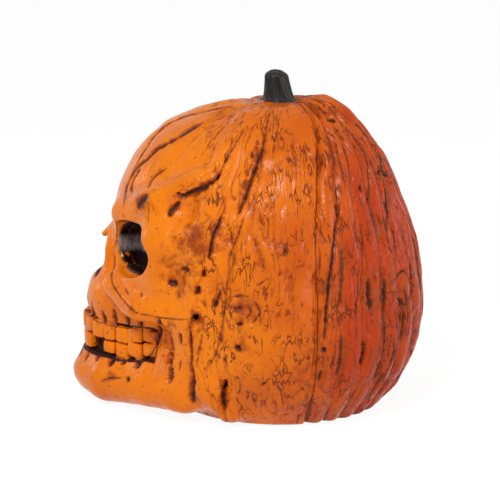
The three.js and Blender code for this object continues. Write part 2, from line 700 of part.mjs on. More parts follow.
function mouldedBody() {
  const table = solid(block(2 * farOut, 2 * farOut, 0, 2 * farOut));
  const skin = cutBy(solid(starSkin(skinRows, skinColumns, closedRadius)), [mouth(0), ...carving]);
  const outer = joined([skin, ...teeth]).intersect(table);
  const pad = solid(roundedPlate(flangeLength + 2 * (seatGap + padRim), flangeWidth + 2 * (seatGap + padRim),
    flangeCorner + seatGap + padRim, 0, padTop));
  const bosses = screwPlaces.map(([x, y]) => solid(drum(bossRadius, 0, bossTop, 12).translate(x, y, 0)));
  const crown = solid(drum(crownRadius, crownUnder, seatZ + crownDepth)).intersect(outer);
  const whole = joined([outer.subtract(hollow(wall, floorThickness)), pad, ...bosses, crown]);
  const rebate = solid(roundedPlate(flangeLength + 2 * seatGap, flangeWidth + 2 * seatGap,
    flangeCorner + seatGap, -1, rebateTop));
  const boxWay = solid(block(boxLength + 2 * runningGap, boxWidth + 2 * runningGap, -1, padTop + 1, 0, boxY));
  const clipSpan = switchLength + 2 * (seatGap + clipThickness + runningGap);
  const switchWay = solid(block(clipSpan, switchWidth + 2 * runningGap, -1, padTop + 1, 0, switchY));
  const pilotTop = bossTop - floorThickness;
  const pilots = screwPlaces.map(([x, y]) => solid(drum(pilotRadius, -1, pilotTop, 10).translate(x, y, 0)));
  const seat = solid(drum(stemBaseRadius + seatGap, seatZ, seatZ + crownDepth, 28));
  const spigotHole = solid(drum(spigotRadius + seatGap, crownUnder - 1, seatZ + 1));
  return cutBy(whole, [rebate, boxWay, switchWay, ...pilots, seat, spigotHole,
    eyeOpening(1), eyeOpening(-1), nostril(1), nostril(-1)]);
}

const moulded = mouldedBody();
const crownHigh = seatZ + 2 * crownDepth;
const faceNotch = solid(drum(crownRadius, -underBase, crownHigh, 28));
const backNotch = solid(drum(crownRadius + seamGap, -underBase, crownHigh, 28));
const faceShell = moulded.subtract(backWedge(seamGap / 2).subtract(faceNotch));
const pumpkinShell = moulded.intersect(backWedge(-seamGap / 2).subtract(backNotch));

// Stem: a fluted loft, domed at the top, that leans towards the face, on a spigot with a blind pilot
function stem() {
  const sides = 4 * fluteCount;
  const domeStart = 1 - stemDome / stemHeight;
  const ring = (t) => Array.from({ length: sides }, (_, i) => {
    const turn = (i * 2 * Math.PI) / sides;
    const flare = stemBaseRadius - (stemBaseRadius - stemTopRadius) * Math.sqrt(Math.min(t / domeStart, 1));
    const flute = fluteDepth * (0.5 + 0.5 * Math.cos(fluteCount * turn)) * Math.min(1, 3 * t);
    const over = Math.max(0, (t - domeStart) / (1 - domeStart));
    const r = (flare - flute) * Math.sqrt(1 - over * over);
    return vector(r * Math.cos(turn), r * Math.sin(turn) - stemLean * t, seatZ + seatGap + t * stemHeight);
  });
  const domeLevels = [0.5, 0.8, 0.97].map((over) => domeStart + over * (1 - domeStart));
  const body = solid(loft([0, ...spread(0, domeStart, 4), ...domeLevels].map(ring)));
  const spigot = solid(drum(spigotRadius, crownUnder + seatGap, seatZ + 2 * seatGap));
  const pilot = solid(drum(pilotRadius, crownUnder - 1, crownUnder + stemScrewLength + screwGrip, 12));
  return body.add(spigot).subtract(pilot);
}

const washerTop = crownUnder - seatGap;
const washerUnder = washerTop - washerThickness;

function washer() {
  const hole = shankRadius + seatGap;
  return revolved([[hole, washerUnder], [washerRadius, washerUnder], [washerRadius, washerTop],
    [hole, washerTop], [hole, washerUnder]], 16);
}

function stemScrew() {
  const headTop = washerUnder - seatGap;
  const profile = [[0, headTop - headHeight], [headRadius * 0.7, headTop - headHeight],
    [headRadius, headTop - headHeight * 0.5], [headRadius, headTop], [shankRadius, headTop],
    [shankRadius, headTop + stemScrewLength - shankRadius], [0, headTop + stemScrewLength]];
  return revolved(profile, 12);
}

function caseScrew() {
  const tip = caseScrewBottom + caseScrewLength;
  const profile = countersunk(0, caseScrewBottom, tip - shankRadius);
  profile[profile.length - 1] = [0, tip];
  return revolved(profile, 12);
}

// Battery case: flange, open box, switch clips and board pegs in one moulding
const cellY = [boxY - cellPitch / 2, boxY + cellPitch / 2];
const pegX = boardLength / 2 - pegInset;
const tabSlot = { length: plateThickness + 2 * seatGap, width: tabWidth + 2 * seatGap };
const pinReach = boxInnerLength / 2 + caseWall - seatGap;
const clipX = switchLength / 2 + seatGap + clipThickness / 2;

function batteryCase() {
  const flange = solid(roundedPlate(flangeLength, flangeWidth, flangeCorner, baseRelief, flangeTop));
  const box = solid(block(boxLength, boxWidth, baseRelief, roofTop, 0, boxY));
  const pegs = [pegX, -pegX].map((x) => solid(drum(pegRadius, roofTop - 0.5, boardTop + seatGap, 10)
    .translate(x, boxY, 0)));
  const clips = [clipX, -clipX].map((x) =>
    solid(block(clipThickness, switchWidth, baseRelief + 1, switchTop, x, switchY)));
  const inside = solid(block(boxInnerLength, boxInnerWidth, -1, roofUnder, 0, boxY));
  const scoop = solid(block(tongueWidth, 2 * caseWall, -1, baseRelief + flangeThickness / 2, 0,
    boxY - boxInnerWidth / 2 - caseWall));
  const knobWay = solid(block(knobLength + switchTravel + 2 * runningGap, knobWidth + 2 * runningGap,
    -1, flangeTop + 1, 0, switchY));
  const sinks = screwPlaces.map(([x, y]) => solid(revolved(countersunk(seatGap, -1, flangeTop + 1), 10)
    .translate(x, y, 0)));
  const slots = cellY.map((y) =>
    solid(block(tabSlot.length, tabSlot.width, roofUnder - 1, roofTop + 1, -plateX, y)));
  const socket = solid(rodAlongX(pinRadius + seatGap, -pinReach - seatGap, pinReach + seatGap)
    .translate(0, hingeY, hingeZ));
  const whole = joined([flange, box, ...pegs, ...clips]);
  return cutBy(whole, [inside, scoop, knobWay, ...sinks, ...slots, socket]);
}

// Door: panel, hinge barrel with end pins, and a snap tongue at the front
const doorLength = boxInnerLength - 2 * runningGap;
const doorFront = boxY - boxInnerWidth / 2 + runningGap + seatGap;

function batteryDoor() {
  const panel = solid(block(doorLength, hingeY - doorFront, baseRelief, doorTop,
    0, (hingeY + doorFront) / 2));
  const barrel = solid(rodAlongX(barrelRadius, -doorLength / 2, doorLength / 2, 18)
    .translate(0, hingeY, hingeZ));
  const pins = solid(rodAlongX(pinRadius, -pinReach, pinReach).translate(0, hingeY, hingeZ));
  const tongue = solid(block(tongueWidth, tongueThickness, baseRelief + 1, doorTop + tongueHeight, 0,
    doorFront + tongueThickness / 2));
  return joined([panel, barrel, pins, tongue]);
}

// Cells and contacts
function cell() {
  const shoulder = cellLength - nippleLength;
  const edge = 0.6;
  const profile = [[0, 0], [cellRadius - edge, 0], [cellRadius, edge], [cellRadius, shoulder - edge],
    [cellRadius - edge, shoulder], [nippleRadius, shoulder], [nippleRadius, cellLength], [0, cellLength]];
  return revolved(profile, 16);
}

function springPoint(turn) {
  const t = turn / springTurns;
  const radius = springBaseRadius + (springTipRadius - springBaseRadius) * t;
  const angle = 2 * Math.PI * turn;
  const climb = springWire / 2 + (springLength - springWire) * t;
  return vector(radius * Math.cos(angle), radius * Math.sin(angle), climb);
}

function contactSpring() {
  const steps = Math.ceil(8 * springTurns);
  const rings = [0, ...spread(0, springTurns, steps)].map((turn) => {
    const centre = springPoint(turn);
    const outwards = vector(centre.x, centre.y, 0).normalize();
    return Array.from({ length: springSides }, (_, i) => {
      const angle = (2 * Math.PI * i) / springSides;
      const lift = vector(0, 0, Math.sin(angle) * springWire / 2);
      return centre.clone().addScaledVector(outwards, (Math.cos(angle) * springWire) / 2).add(lift);
    });
  });
  return loft(rings);
}

function leastCoilGap() {
  const turns = spread(0, springTurns, 40 * springTurns);
  let least = Infinity;
  for (const a of turns) {
    for (const b of turns.filter((turn) => turn > a + 0.5)) {
      least = Math.min(least, springPoint(a).distanceTo(springPoint(b)) - springWire);
    }
  }
  return least;
}
console.log(`contact spring: least gap between turns ${leastCoilGap().toFixed(2)} mm`);

function contactPlate(y, width) {
  return solid(block(plateThickness, width, cellZ - plateHeight / 2, cellZ + plateHeight / 2, -plateX, y));
}

function tabbedPlate(y) {
  const tab = solid(block(plateThickness, tabWidth, cellZ, boardTop + seatGap, -plateX, y));
  return contactPlate(y, plateWidth).add(tab);
}

// Board on the case's roof, with slots for the soldered tabs and a drop of resin over its chip
function circuitBoard() {
  const sheet = solid(block(boardLength, boardWidth, boardBottom, boardTop, 0, boxY));
  const dome = spread(0, 90, 4).reverse().map(radians).map((angle) => [Math.sin(angle), Math.cos(angle)]);
  const blob = solid(revolved([[0, -boardThickness / 2], [1, -boardThickness / 2], ...dome, [0, 1]], 14)
    .scale(blobRadius, blobRadius, blobHeight).translate(0, boxY + boardWidth / 4, boardTop));
  const holes = [pegX, -pegX].map((x) => solid(drum(pegRadius + seatGap, boardBottom - 1, boardTop + 1, 10)
    .translate(x, boxY, 0)));
  const slots = cellY.map((y) =>
    solid(block(tabSlot.length, tabSlot.width, boardBottom - 1, boardTop + 1, -plateX, y)));
  return cutBy(sheet.add(blob), [...holes, ...slots]);
}

function switchHousing() {
  const box = solid(block(switchLength, switchWidth, switchBottom, switchTop, 0, switchY));
  const inside = block(switchLength - 2 * switchWall, switchWidth - 2 * switchWall, switchBottom - 1,
    switchTop - switchWall, 0, switchY);
  return box.subtract(solid(inside));
}

function switchSlider() {
  const slide = solid(block(slideLength, slideWidth, switchBottom, switchBottom + slideHeight,
    -switchTravel / 2, switchY));
  const knob = solid(block(knobLength, knobWidth, baseRelief, switchBottom + 1, -switchTravel / 2, switchY));
  return slide.add(knob);
}

// Leads: from each diode, and from the switch, down to the board
const padY = boxY - boardWidth / 3;
const padZ = boardTop + seatGap;

function diodeLead(side) {
  const start = vector(0, 0, diodeRear - seatGap).applyMatrix4(eyeFrame(side));
  const behind = vector(0, 0, diodeRear - leadBend).applyMatrix4(eyeFrame(side));
  const middle = leadRun.map(([x, y, z]) => vector(x * side, y, z));
  const down = [padZ + leadRise, padZ].map((z) => vector(leadPadX * side, padY, z));
  return lead([start, behind, ...middle, ...down], 14);
}

function switchLead() {
  const low = switchTop + seatGap;
  const places = [[switchY, low], [switchY, low + leadBend], [switchY + 4, roofTop + 5],
    [padY - 4, padZ + leadRise], [padY, padZ + 4], [padY, padZ]];
  return lead(places.map(([y, z]) => vector(0, y, z)), 12);
}

// Finishes
function finish(color, roughness, metalness = 0) {
  return new THREE.MeshStandardMaterial({ color, roughness, metalness });
}

const orangePaint = finish(0xd9691c, 0.42);
const stemPaint = finish(0x2a1913, 0.55);
const darkGloss = finish(0x2b1611, 0.18);
const blackPlastic = finish(0x1d1c1d, 0.5);
const greyPlastic = finish(0x4a4a4c, 0.5);
const lampResin = finish(0xf3e6c8, 0.12);
const leadSheath = finish(0x2a2a2c, 0.45);
const cellWrap = finish(0x3f5a6b, 0.35, 0.2);
const nickel = finish(0xb8bbbf, 0.28, 0.95);
const zincSteel = finish(0x9a9ca0, 0.35, 0.9);
const boardGreen = finish(0x1f5a38, 0.4);

const decoration = new THREE.Group();

function piece(group, name, shape, material) {
  const geometry = shape.isBufferGeometry ? welded(shape) : surface(shape);
  const mesh = new THREE.Mesh(geometry, material);
  mesh.name = name;
  group.add(mesh);
  return mesh;
}

function subgroup() {
  const group = new THREE.Group();
  decoration.add(group);
  return group;
}

const shells = subgroup();
piece(shells, 'face_shell', faceShell, orangePaint);
piece(shells, 'pumpkin_shell', pumpkinShell, orangePaint);

const stemSet = subgroup();
piece(stemSet, 'stem', stem(), stemPaint);
piece(stemSet, 'stem_washer', washer(), zincSteel);
piece(stemSet, 'stem_screw', stemScrew(), zincSteel);

const eyes = subgroup();
for (const [label, side] of [['left', 1], ['right', -1]]) {
  piece(eyes, `eye_cup_${label}`, eyeCup(side), darkGloss);
  piece(eyes, `led_${label}`, diode(side), lampResin);
  piece(eyes, `led_lead_${label}`, diodeLead(side), leadSheath);
}

const base = subgroup();
piece(base, 'battery_case', batteryCase(), blackPlastic);
piece(base, 'battery_door', batteryDoor(), blackPlastic);
const nippleEnd = boxInnerLength / 2 - contactDepth;
const springSeat = nippleEnd;
for (const [number, way] of [[1, 1], [2, -1]]) {
  const battery = piece(base, `battery_${number}`, cell(), cellWrap);
  battery.rotation.y = (way * Math.PI) / 2;
  battery.position.set(way * (nippleEnd - cellLength), cellY[number - 1], cellZ);
  const spring = piece(base, `contact_spring_${number}`, contactSpring(), nickel);
  spring.rotation.y = (way * Math.PI) / 2;
  spring.position.set(-way * springSeat, cellY[number - 1], cellZ);
}
piece(base, 'negative_plate', tabbedPlate(cellY[0]), nickel);
piece(base, 'positive_plate', tabbedPlate(cellY[1]), nickel);
const bridge = piece(base, 'bridge_plate', contactPlate(0, cellPitch + plateWidth), nickel);
bridge.position.set(2 * plateX, boxY, 0);
piece(base, 'circuit_board', circuitBoard(), boardGreen);
piece(base, 'switch_housing', switchHousing(), greyPlastic);
piece(base, 'switch_slider', switchSlider(), greyPlastic);
piece(base, 'switch_lead', switchLead(), leadSheath);
screwPlaces.forEach(([x, y], i) => {
  const screw = piece(base, `case_screw_${i + 1}`, caseScrew(), zincSteel);
  screw.position.set(x, y, 0);
});

// The origin is under the middle of the whole decoration
const bounds = new THREE.Box3().setFromObject(decoration);
decoration.position.y = -(bounds.min.y + bounds.max.y) / 2;

export default decoration;
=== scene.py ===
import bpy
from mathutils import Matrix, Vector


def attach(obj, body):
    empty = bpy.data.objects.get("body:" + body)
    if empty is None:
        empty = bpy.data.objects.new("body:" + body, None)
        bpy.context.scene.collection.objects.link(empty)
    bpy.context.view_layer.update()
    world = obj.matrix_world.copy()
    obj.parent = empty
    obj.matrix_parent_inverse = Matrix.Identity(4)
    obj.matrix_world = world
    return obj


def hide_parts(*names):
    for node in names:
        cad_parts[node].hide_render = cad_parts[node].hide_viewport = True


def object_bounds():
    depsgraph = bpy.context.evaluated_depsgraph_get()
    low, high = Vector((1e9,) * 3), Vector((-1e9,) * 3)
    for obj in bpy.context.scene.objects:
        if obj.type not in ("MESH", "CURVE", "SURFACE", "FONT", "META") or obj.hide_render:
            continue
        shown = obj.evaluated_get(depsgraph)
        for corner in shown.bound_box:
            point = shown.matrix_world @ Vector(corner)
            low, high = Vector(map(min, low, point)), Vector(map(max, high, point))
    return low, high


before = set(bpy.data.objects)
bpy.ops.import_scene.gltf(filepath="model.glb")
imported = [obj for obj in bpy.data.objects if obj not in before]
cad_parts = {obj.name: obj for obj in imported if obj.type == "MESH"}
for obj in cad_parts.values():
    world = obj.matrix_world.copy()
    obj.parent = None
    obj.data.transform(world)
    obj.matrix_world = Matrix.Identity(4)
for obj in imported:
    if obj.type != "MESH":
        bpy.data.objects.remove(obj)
cadBox = [[float(v) for v in corner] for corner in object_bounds()]

import math

import bpy
import numpy as np
import openvdb
from mathutils import Vector

scene = bpy.context.scene
scene.view_settings.view_transform = "Standard"
stemAxisY = 18.392475             # millimetres from the frame's middle back to the stem's axis


# Small tools: colours, nodes, meshes

def hexToLinear(code):
    parts = [int(code[i:i + 2], 16) / 255 for i in (0, 2, 4)]
    return [c / 12.92 if c <= 0.04045 else ((c + 0.055) / 1.055) ** 2.4 for c in parts] + [1.0]


def perMetre(millimetres):        # a pattern's scale from its real spacing
    return 1000.0 / millimetres


def addNode(tree, kind, settings=None, links=None):
    node = tree.nodes.new("ShaderNode" + kind)
    for name, value in (settings or {}).items():
        if isinstance(name, int) or name in node.inputs:
            node.inputs[name].default_value = value
        else:
            setattr(node, name, value)
    for name, source in (links or {}).items():
        tree.links.new(source, node.inputs[name])
    return node


def newMaterial(name):
    material = bpy.data.materials.new(name)
    material.use_nodes = True
    material.node_tree.nodes.clear()
    return material, material.node_tree


def objectPlace(tree):
    return addNode(tree, "TexCoord").outputs["Object"]


def attribute(tree, name, output="Fac"):
    return addNode(tree, "Attribute", {"attribute_name": name}).outputs[output]


def stretch(tree, place, factors):
    return addNode(tree, "VectorMath", {"operation": "MULTIPLY", 1: factors}, {0: place}).outputs[0]


def noiseAt(tree, place, spacing, **settings):    # spacing in millimetres
    settings["Scale"] = perMetre(spacing)
    return addNode(tree, "TexNoise", settings, {"Vector": place}).outputs["Fac"]


def remap(tree, value, low, high, toLow=0.0, toHigh=1.0, kind="LINEAR"):
    limits = {"From Min": low, "From Max": high, "To Min": toLow, "To Max": toHigh}
    return addNode(tree, "MapRange", {"interpolation_type": kind, **limits}, {"Value": value}).outputs[0]


def combine(tree, operation, *terms, clamp=False):    # each term is a number or a socket
    settings, links = {"operation": operation, "use_clamp": clamp}, {}
    for place, term in enumerate(terms):
        if isinstance(term, float):
            settings[place] = term
        else:
            links[place] = term
    return addNode(tree, "Math", settings, links).outputs[0]


def blend(tree, share, first, second):    # each colour is a hex code or a socket
    settings, links = {"data_type": "RGBA"}, {0: share}
    for place, colour in ((6, first), (7, second)):
        if isinstance(colour, str):
            settings[place] = hexToLinear(colour)
        else:
            links[place] = colour
    return addNode(tree, "Mix", settings, links).outputs[2]


def bumped(tree, height, strength, distance):
    return addNode(tree, "Bump", {"Strength": strength, "Distance": distance}, {"Height": height}).outputs[0]


def finishMaterial(tree, settings, colour, rough=None, normal=None, metal=None):
    links = {"Base Color": colour, "Roughness": rough, "Normal": normal, "Metallic": metal}
    links = {name: source for name, source in links.items() if source is not None}
    shader = addNode(tree, "BsdfPrincipled", settings, links)
    addNode(tree, "OutputMaterial", links={"Surface": shader.outputs[0]})


def newPiece(name, points, faces):
    mesh = bpy.data.meshes.new(name)
    mesh.from_pydata(points, [], faces)
    mesh.update()
    piece = bpy.data.objects.new(name, mesh)
    scene.collection.objects.link(piece)
    return piece


def toFrame(points):              # millimetres round the stem's axis to metres in the frame
    moved = np.array(points, float)
    moved[:, 1] += stemAxisY
    return moved / 1000.0


# Camera: the photograph's viewpoint, worked out from the silhouette

viewpoint = {
    "azimuth": 97.0,              # degrees round from straight in front
    "elevation": 12.0,
    "distance": 1000.0,           # millimetres
    "target": (0.0, -15.0, 90.0),
    "focalPixels": 1750.0,
    "framePixels": 500.0,
    "sensorWidth": 36.0,          # millimetres
    "middle": (252.44, 245.16),   # pixel straight ahead
}

turn = math.radians(viewpoint["azimuth"])
tilt = math.radians(viewpoint["elevation"])
lookBack = np.array([math.sin(turn) * math.cos(tilt), -math.cos(turn) * math.cos(tilt), math.sin(tilt)])
eyePoint = np.array(viewpoint["target"]) + lookBack * viewpoint["distance"]
lookRight = np.cross(-lookBack, [0.0, 0.0, 1.0])
lookRight /= np.linalg.norm(lookRight)
lookUp = np.cross(lookRight, -lookBack)

cameraData = bpy.data.cameras.new("photoCamera")
cameraData.sensor_width = viewpoint["sensorWidth"]
cameraData.lens = viewpoint["sensorWidth"] * viewpoint["focalPixels"] / viewpoint["framePixels"]
cameraData.shift_x = (viewpoint["framePixels"] / 2 - viewpoint["middle"][0]) / viewpoint["framePixels"]
cameraData.shift_y = (viewpoint["middle"][1] - viewpoint["framePixels"] / 2) / viewpoint["framePixels"]
camera = bpy.data.objects.new("photoCamera", cameraData)
scene.collection.objects.link(camera)
camera.location = toFrame([eyePoint])[0]
camera.rotation_euler = Vector(-lookBack).to_track_quat("-Z", "Y").to_euler()
scene.camera = camera
print("camera set")


# Forms of the head, in millimetres: each round or bone melts into the rest over its own width

headForms = {
    "rind": {"halfWidth": 79.0, "halfDepth": 83.5, "belt": 57.0, "rise": 117.7, "drop": 78.0},
    "rounds": {
        "backLobe": ((0, 11.5, 107), (58, 53.5, 72.5), 8),
        "browVault": ((0, -25, 106), (60, 69, 67), 10),
        "temple": ((0, -47, 86), (62, 46, 44), 8),
        "innerCheek": ((0, -46, 36), (50, 46, 40), 10),
        "upperJaw": ((0, -75, 59), (31, 36.5, 26), 8),
        "gums": ((0, -62, 41), (31.5, 51, 17), 4),
        "mandible": ((0, -78, 29), (29, 36, 18), 6),
        "chin": ((0, -94, 15), (29, 26.5, 16.5), 8),
    },
    "bones": {
        "rindEdge": (((8, -8, 168), (30, -15, 165), (45, -20, 154), (57, -26, 133), (63, -31, 110),
                      (65.5, -34, 88), (64, -37, 71), (61.5, -38, 52), (60, -31, 27), (56.5, -20, 12)),
                     (6, 8, 9, 9.5, 9.5, 9.5, 9.5, 9.5, 9.5, 10), 4),
        "brow": (((7, -84.5, 108), (28, -82.5, 113), (48, -64, 122), (56, -36, 138)), (5.5, 8.5, 9, 6), 7),
        "orbitRim": (((51, -57, 112), (55, -55, 80)), (8, 9), 10),
        "cheekbone": (((31, -89, 72), (51, -70, 61), (62, -42, 65)), (7, 9.5, 8), 7),
        "jaw": (((22, -94, 15), (46, -52, 17), (56, -32, 22)), (13, 13, 10), 8),
        "jawTendon": (((56, -44, 58), (52, -46, 14)), (6, 8), 7),
        "noseBone": (((0, -85, 107), (0, -101, 94.4)), (6, 2.0), 4),
        "noseWall": (((4, -94.5, 97), (9.5, -95, 88), (11.5, -94.5, 76)), (3.5, 4.6, 5), 3),
        "templeSwell": (((52, -62, 102), (57, -50, 104), (61.5, -38, 104)), (7, 9.5, 9), 9),
    },
    "stemDimple": ((0, 0, 184), (24, 24, 11), 8),
    "underCheek": ((54, -72, 44), (15, 20, 13), 8),
    "noseHalf": ((5, -103, 82), (6, 15, 11.5), 2.0),
    "noseSplay": 14.0,            # degrees each half leans in at the top
    "ribCount": 13,
    "ribDepth": 2.4,
    # Height, and degrees from the back to each seam
    "seamBend": ((-20, 68.0), (100, 68.0), (118, 66.5), (137, 63.0), (152, 58.5), (166, 54.0), (260, 54.0)),
    "seamGroove": (1.3, 1.1),     # half width and depth of the dark line along it
    "seamGap": 0.3,
    "crownRadius": 11.0,          # the seam goes round the stem's seat
    "seat": (10.5, 171.77),       # radius and height of the stem's seat
    "foreheadGroove": 1.4,
    "foreheadPitch": 13.0,
    "baseRounding": 2.5,
}

eyeForm = {
    "at": (39.0, -79.0, 94.5),
    "yaw": 40.0,
    "half": (17.5, 13.0),
    "dish": (20.0, 15.5, 9.0),
    "dishDraw": 0.8,              # the outer half is longer, by one over this
    "dishMelt": 2.4,
    "recess": 9.0,
    "bowlDepth": 17.0,
    "rimMelt": 1.2,
}

# Mouth: the arch from its middle outwards, then each crown's bite and gum heights from the middle outwards
teethForm = {
    "arch": ((0, -112.2), (7, -110.2), (13, -106.2), (18, -101), (22.4, -94.6), (26, -88), (30.6, -80.4),
             (34.8, -73.9), (37.6, -67.2), (39.6, -61)),
    "partings": (0, 8.0, 16.0, 26.6, 35.4, 44.8, 55.6, 64.9),    # along the arch
    "upperBite": (39.6, 39.2, 37.6, 37.4, 38.1, 39.6, 41.0),
    "upperGum": (50.5, 49.4, 47.4, 46.8, 47.2, 47.6, 48.0),
    "lowerBite": (38.8, 38.4, 36.9, 36.7, 37.4, 38.9, 40.3),
    "lowerGum": (30.6, 30.2, 29.6, 29.8, 28.8, 30.4, 32.6),
    "missing": 2,                 # place of the lost lower tooth, on the side with +X
    "recess": 2.6,                # floor of the mouth behind the arch
    "thick": 2.5,
    "parting": 0.4,
    "rounding": 1.3,
    "gumMelt": 1.0,
    "jitter": 0.7,
}


def toRound(x, y, z, at, radii):
    u, v, w = (x - at[0]) / radii[0], (y - at[1]) / radii[1], (z - at[2]) / radii[2]
    near = np.sqrt(u * u + v * v + w * w) + 1e-6
    steep = np.sqrt((u / radii[0]) ** 2 + (v / radii[1]) ** 2 + (w / radii[2]) ** 2) + 1e-6
    return near * (near - 1) / steep


def toBone(x, y, z, points, radii):
    least = None
    for a, b, ra, rb in zip(points, points[1:], radii, radii[1:]):
        dx, dy, dz = b[0] - a[0], b[1] - a[1], b[2] - a[2]
        along = ((x - a[0]) * dx + (y - a[1]) * dy + (z - a[2]) * dz) / (dx * dx + dy * dy + dz * dz)
        t = np.clip(along, 0, 1)
        reach = np.sqrt((x - a[0] - t * dx) ** 2 + (y - a[1] - t * dy) ** 2 + (z - a[2] - t * dz) ** 2)
        reach = reach - ra - (rb - ra) * t
        least = reach if least is None else np.minimum(least, reach)
    return least


def melt(a, b, width):
    h = np.clip(0.5 + 0.5 * (b - a) / width, 0, 1)
    return b + (a - b) * h - width * h * (1 - h)


def hollowOut(a, b, width):
    return -melt(-a, b, width)


def ease(value, low, high):
    t = np.clip((value - low) / (high - low), 0, 1)
    return t * t * (3 - 2 * t)


def smoothNoise(points, seed):    # value noise on a unit lattice, from -1 to 1
    cell = np.floor(points).astype(np.int64)
    f = points - cell
    f = f * f * f * (f * (f * 6 - 15) + 10)
    total = np.zeros(len(points))
    for i in range(8):
        step = np.array([i & 1, (i >> 1) & 1, (i >> 2) & 1])
        c = cell + step
        h = (c[:, 0] * 73856093) ^ (c[:, 1] * 19349663) ^ (c[:, 2] * 83492791) ^ (seed * 49979687)
        h = ((h ^ (h >> 15)) * 2246822519) & 0xFFFFFFFF
        h = ((h ^ (h >> 13)) * 3266489917) & 0xFFFFFFFF
        weight = np.prod(np.where(step, f, 1 - f), axis=1)
        total += weight * (((h ^ (h >> 16)) & 0xFFFF) / 32767.5 - 1)
    return total


def seamAt(z):                    # radians from the back to each seam, which bends back near the top
    heights, angles = zip(*headForms["seamBend"])
    return np.radians(np.interp(z, heights, angles))


# Seams: two walls from the stem's axis and a ring round the stem's seat; negative is the back piece
def backSide(x, y, z):
    edge = seamAt(z)
    wall = np.abs(x) * np.cos(edge) - y * np.sin(edge)
    return np.maximum(wall, headForms["crownRadius"] - np.hypot(x, y))


def ribWave(x, y, z):             # turns from the back to the place and to the seam, and the ribs' height
    fromBack = np.abs(np.arctan2(x, y))
    edge = seamAt(z)
    sway = 0.018 * np.sin(z / 19.0 + x / 31.0) + 0.012 * np.sin(z / 8.3 + 2.0)
    rib = np.abs(np.sin(math.pi * headForms["ribCount"] * ((fromBack + sway) / edge + 1) / 2))
    return fromBack, edge, rib


def rindGrooves(x, y, z):
    fromBack, edge, rib = ribWave(x, y, z)
    back = 1 - ease(fromBack, edge * 0.985, edge * 1.03)
    fromFront = math.pi - fromBack
    crease = np.abs(np.cos(math.pi * fromFront / math.radians(headForms["foreheadPitch"]) / 2))
    front = ease(z, 120, 150) * (1 - ease(fromFront, math.radians(58), math.radians(75)))
    fade = ease(np.hypot(x, y), 8, 26)
    return fade * (back * (1 - rib) * headForms["ribDepth"]
                   + front * (1 - crease ** 0.5) * headForms["foreheadGroove"])


def onArch(along, out=0.0):       # a place on the arch and the way outwards there
    points = np.array(teethForm["arch"], float)
    lengths = np.concatenate([[0], np.cumsum(np.linalg.norm(np.diff(points, axis=0), axis=1))])
    x, y = (np.interp(along, lengths, points[:, i]) for i in (0, 1))
    ahead = [np.interp(np.minimum(along + 2, lengths[-1]), lengths, points[:, i]) for i in (0, 1)]
    behind = [np.interp(np.maximum(along - 2, 0), lengths, points[:, i]) for i in (0, 1)]
    tx, ty = ahead[0] - behind[0], ahead[1] - behind[1]
    size = np.hypot(tx, ty)
    return x + out * ty / size, y - out * tx / size, tx / size, ty / size


def archPlace(x, y):              # how far along the arch a point lies, and how far outside it
    best = np.full(x.shape, 1e6, np.float32)
    along, out = np.zeros(x.shape, np.float32), np.zeros(x.shape, np.float32)
    run = 0.0
    for a, b in zip(teethForm["arch"], teethForm["arch"][1:]):
        dx, dy = b[0] - a[0], b[1] - a[1]
        size = math.hypot(dx, dy)
        t = np.clip(((x - a[0]) * dx + (y - a[1]) * dy) / size ** 2, 0, 1)
        px, py = x - a[0] - t * dx, y - a[1] - t * dy
        apart = np.hypot(px, py)
        closer = apart < best
        best[closer] = apart[closer]
        along[closer] = (run + t * size)[closer]
        out[closer] = (np.sign(px * dy - py * dx) * apart)[closer]
        run += size
    return along, out


def toothPlaces():                # the partings along the arch, and each crown's middle
    partings = np.array(teethForm["partings"])
    return partings, (partings[1:] + partings[:-1]) / 2


def toothRow(x, y, z, bites, gums, missing, seed):
    shake = np.random.default_rng(seed)
    least = np.full(x.shape, 99.0, np.float32)
    for place, (start, end) in enumerate(zip(teethForm["partings"], teethForm["partings"][1:])):
        wobble = shake.uniform(-1, 1, 4) * teethForm["jitter"]
        if place == missing:
            continue
        atX, atY, tx, ty = onArch((start + end) / 2)
        half = (end - start - teethForm["parting"]) / 2
        low, high = sorted((bites[place], gums[place]))
        dx, dy = x - atX, y - atY
        along = dx * tx + dy * ty - wobble[0] * 0.5
        up = z - (low + high) / 2 - wobble[2] * 0.7 + along * wobble[3] * 0.16
        out = dx * ty - dy * tx - wobble[1] + 0.032 * along ** 2 + 0.012 * up ** 2
        r = min(teethForm["rounding"], half - 0.2)
        a = np.abs(along) - (half - r)
        b = np.abs(out) - (teethForm["thick"] - r)
        c = np.abs(up) - ((high - low) / 2 - r)
        apart = np.sqrt(np.maximum(a, 0) ** 2 + np.maximum(b, 0) ** 2 + np.maximum(c, 0) ** 2)
        least = np.minimum(least, apart + np.minimum(np.maximum(np.maximum(a, b), c), 0) - r)
    return least


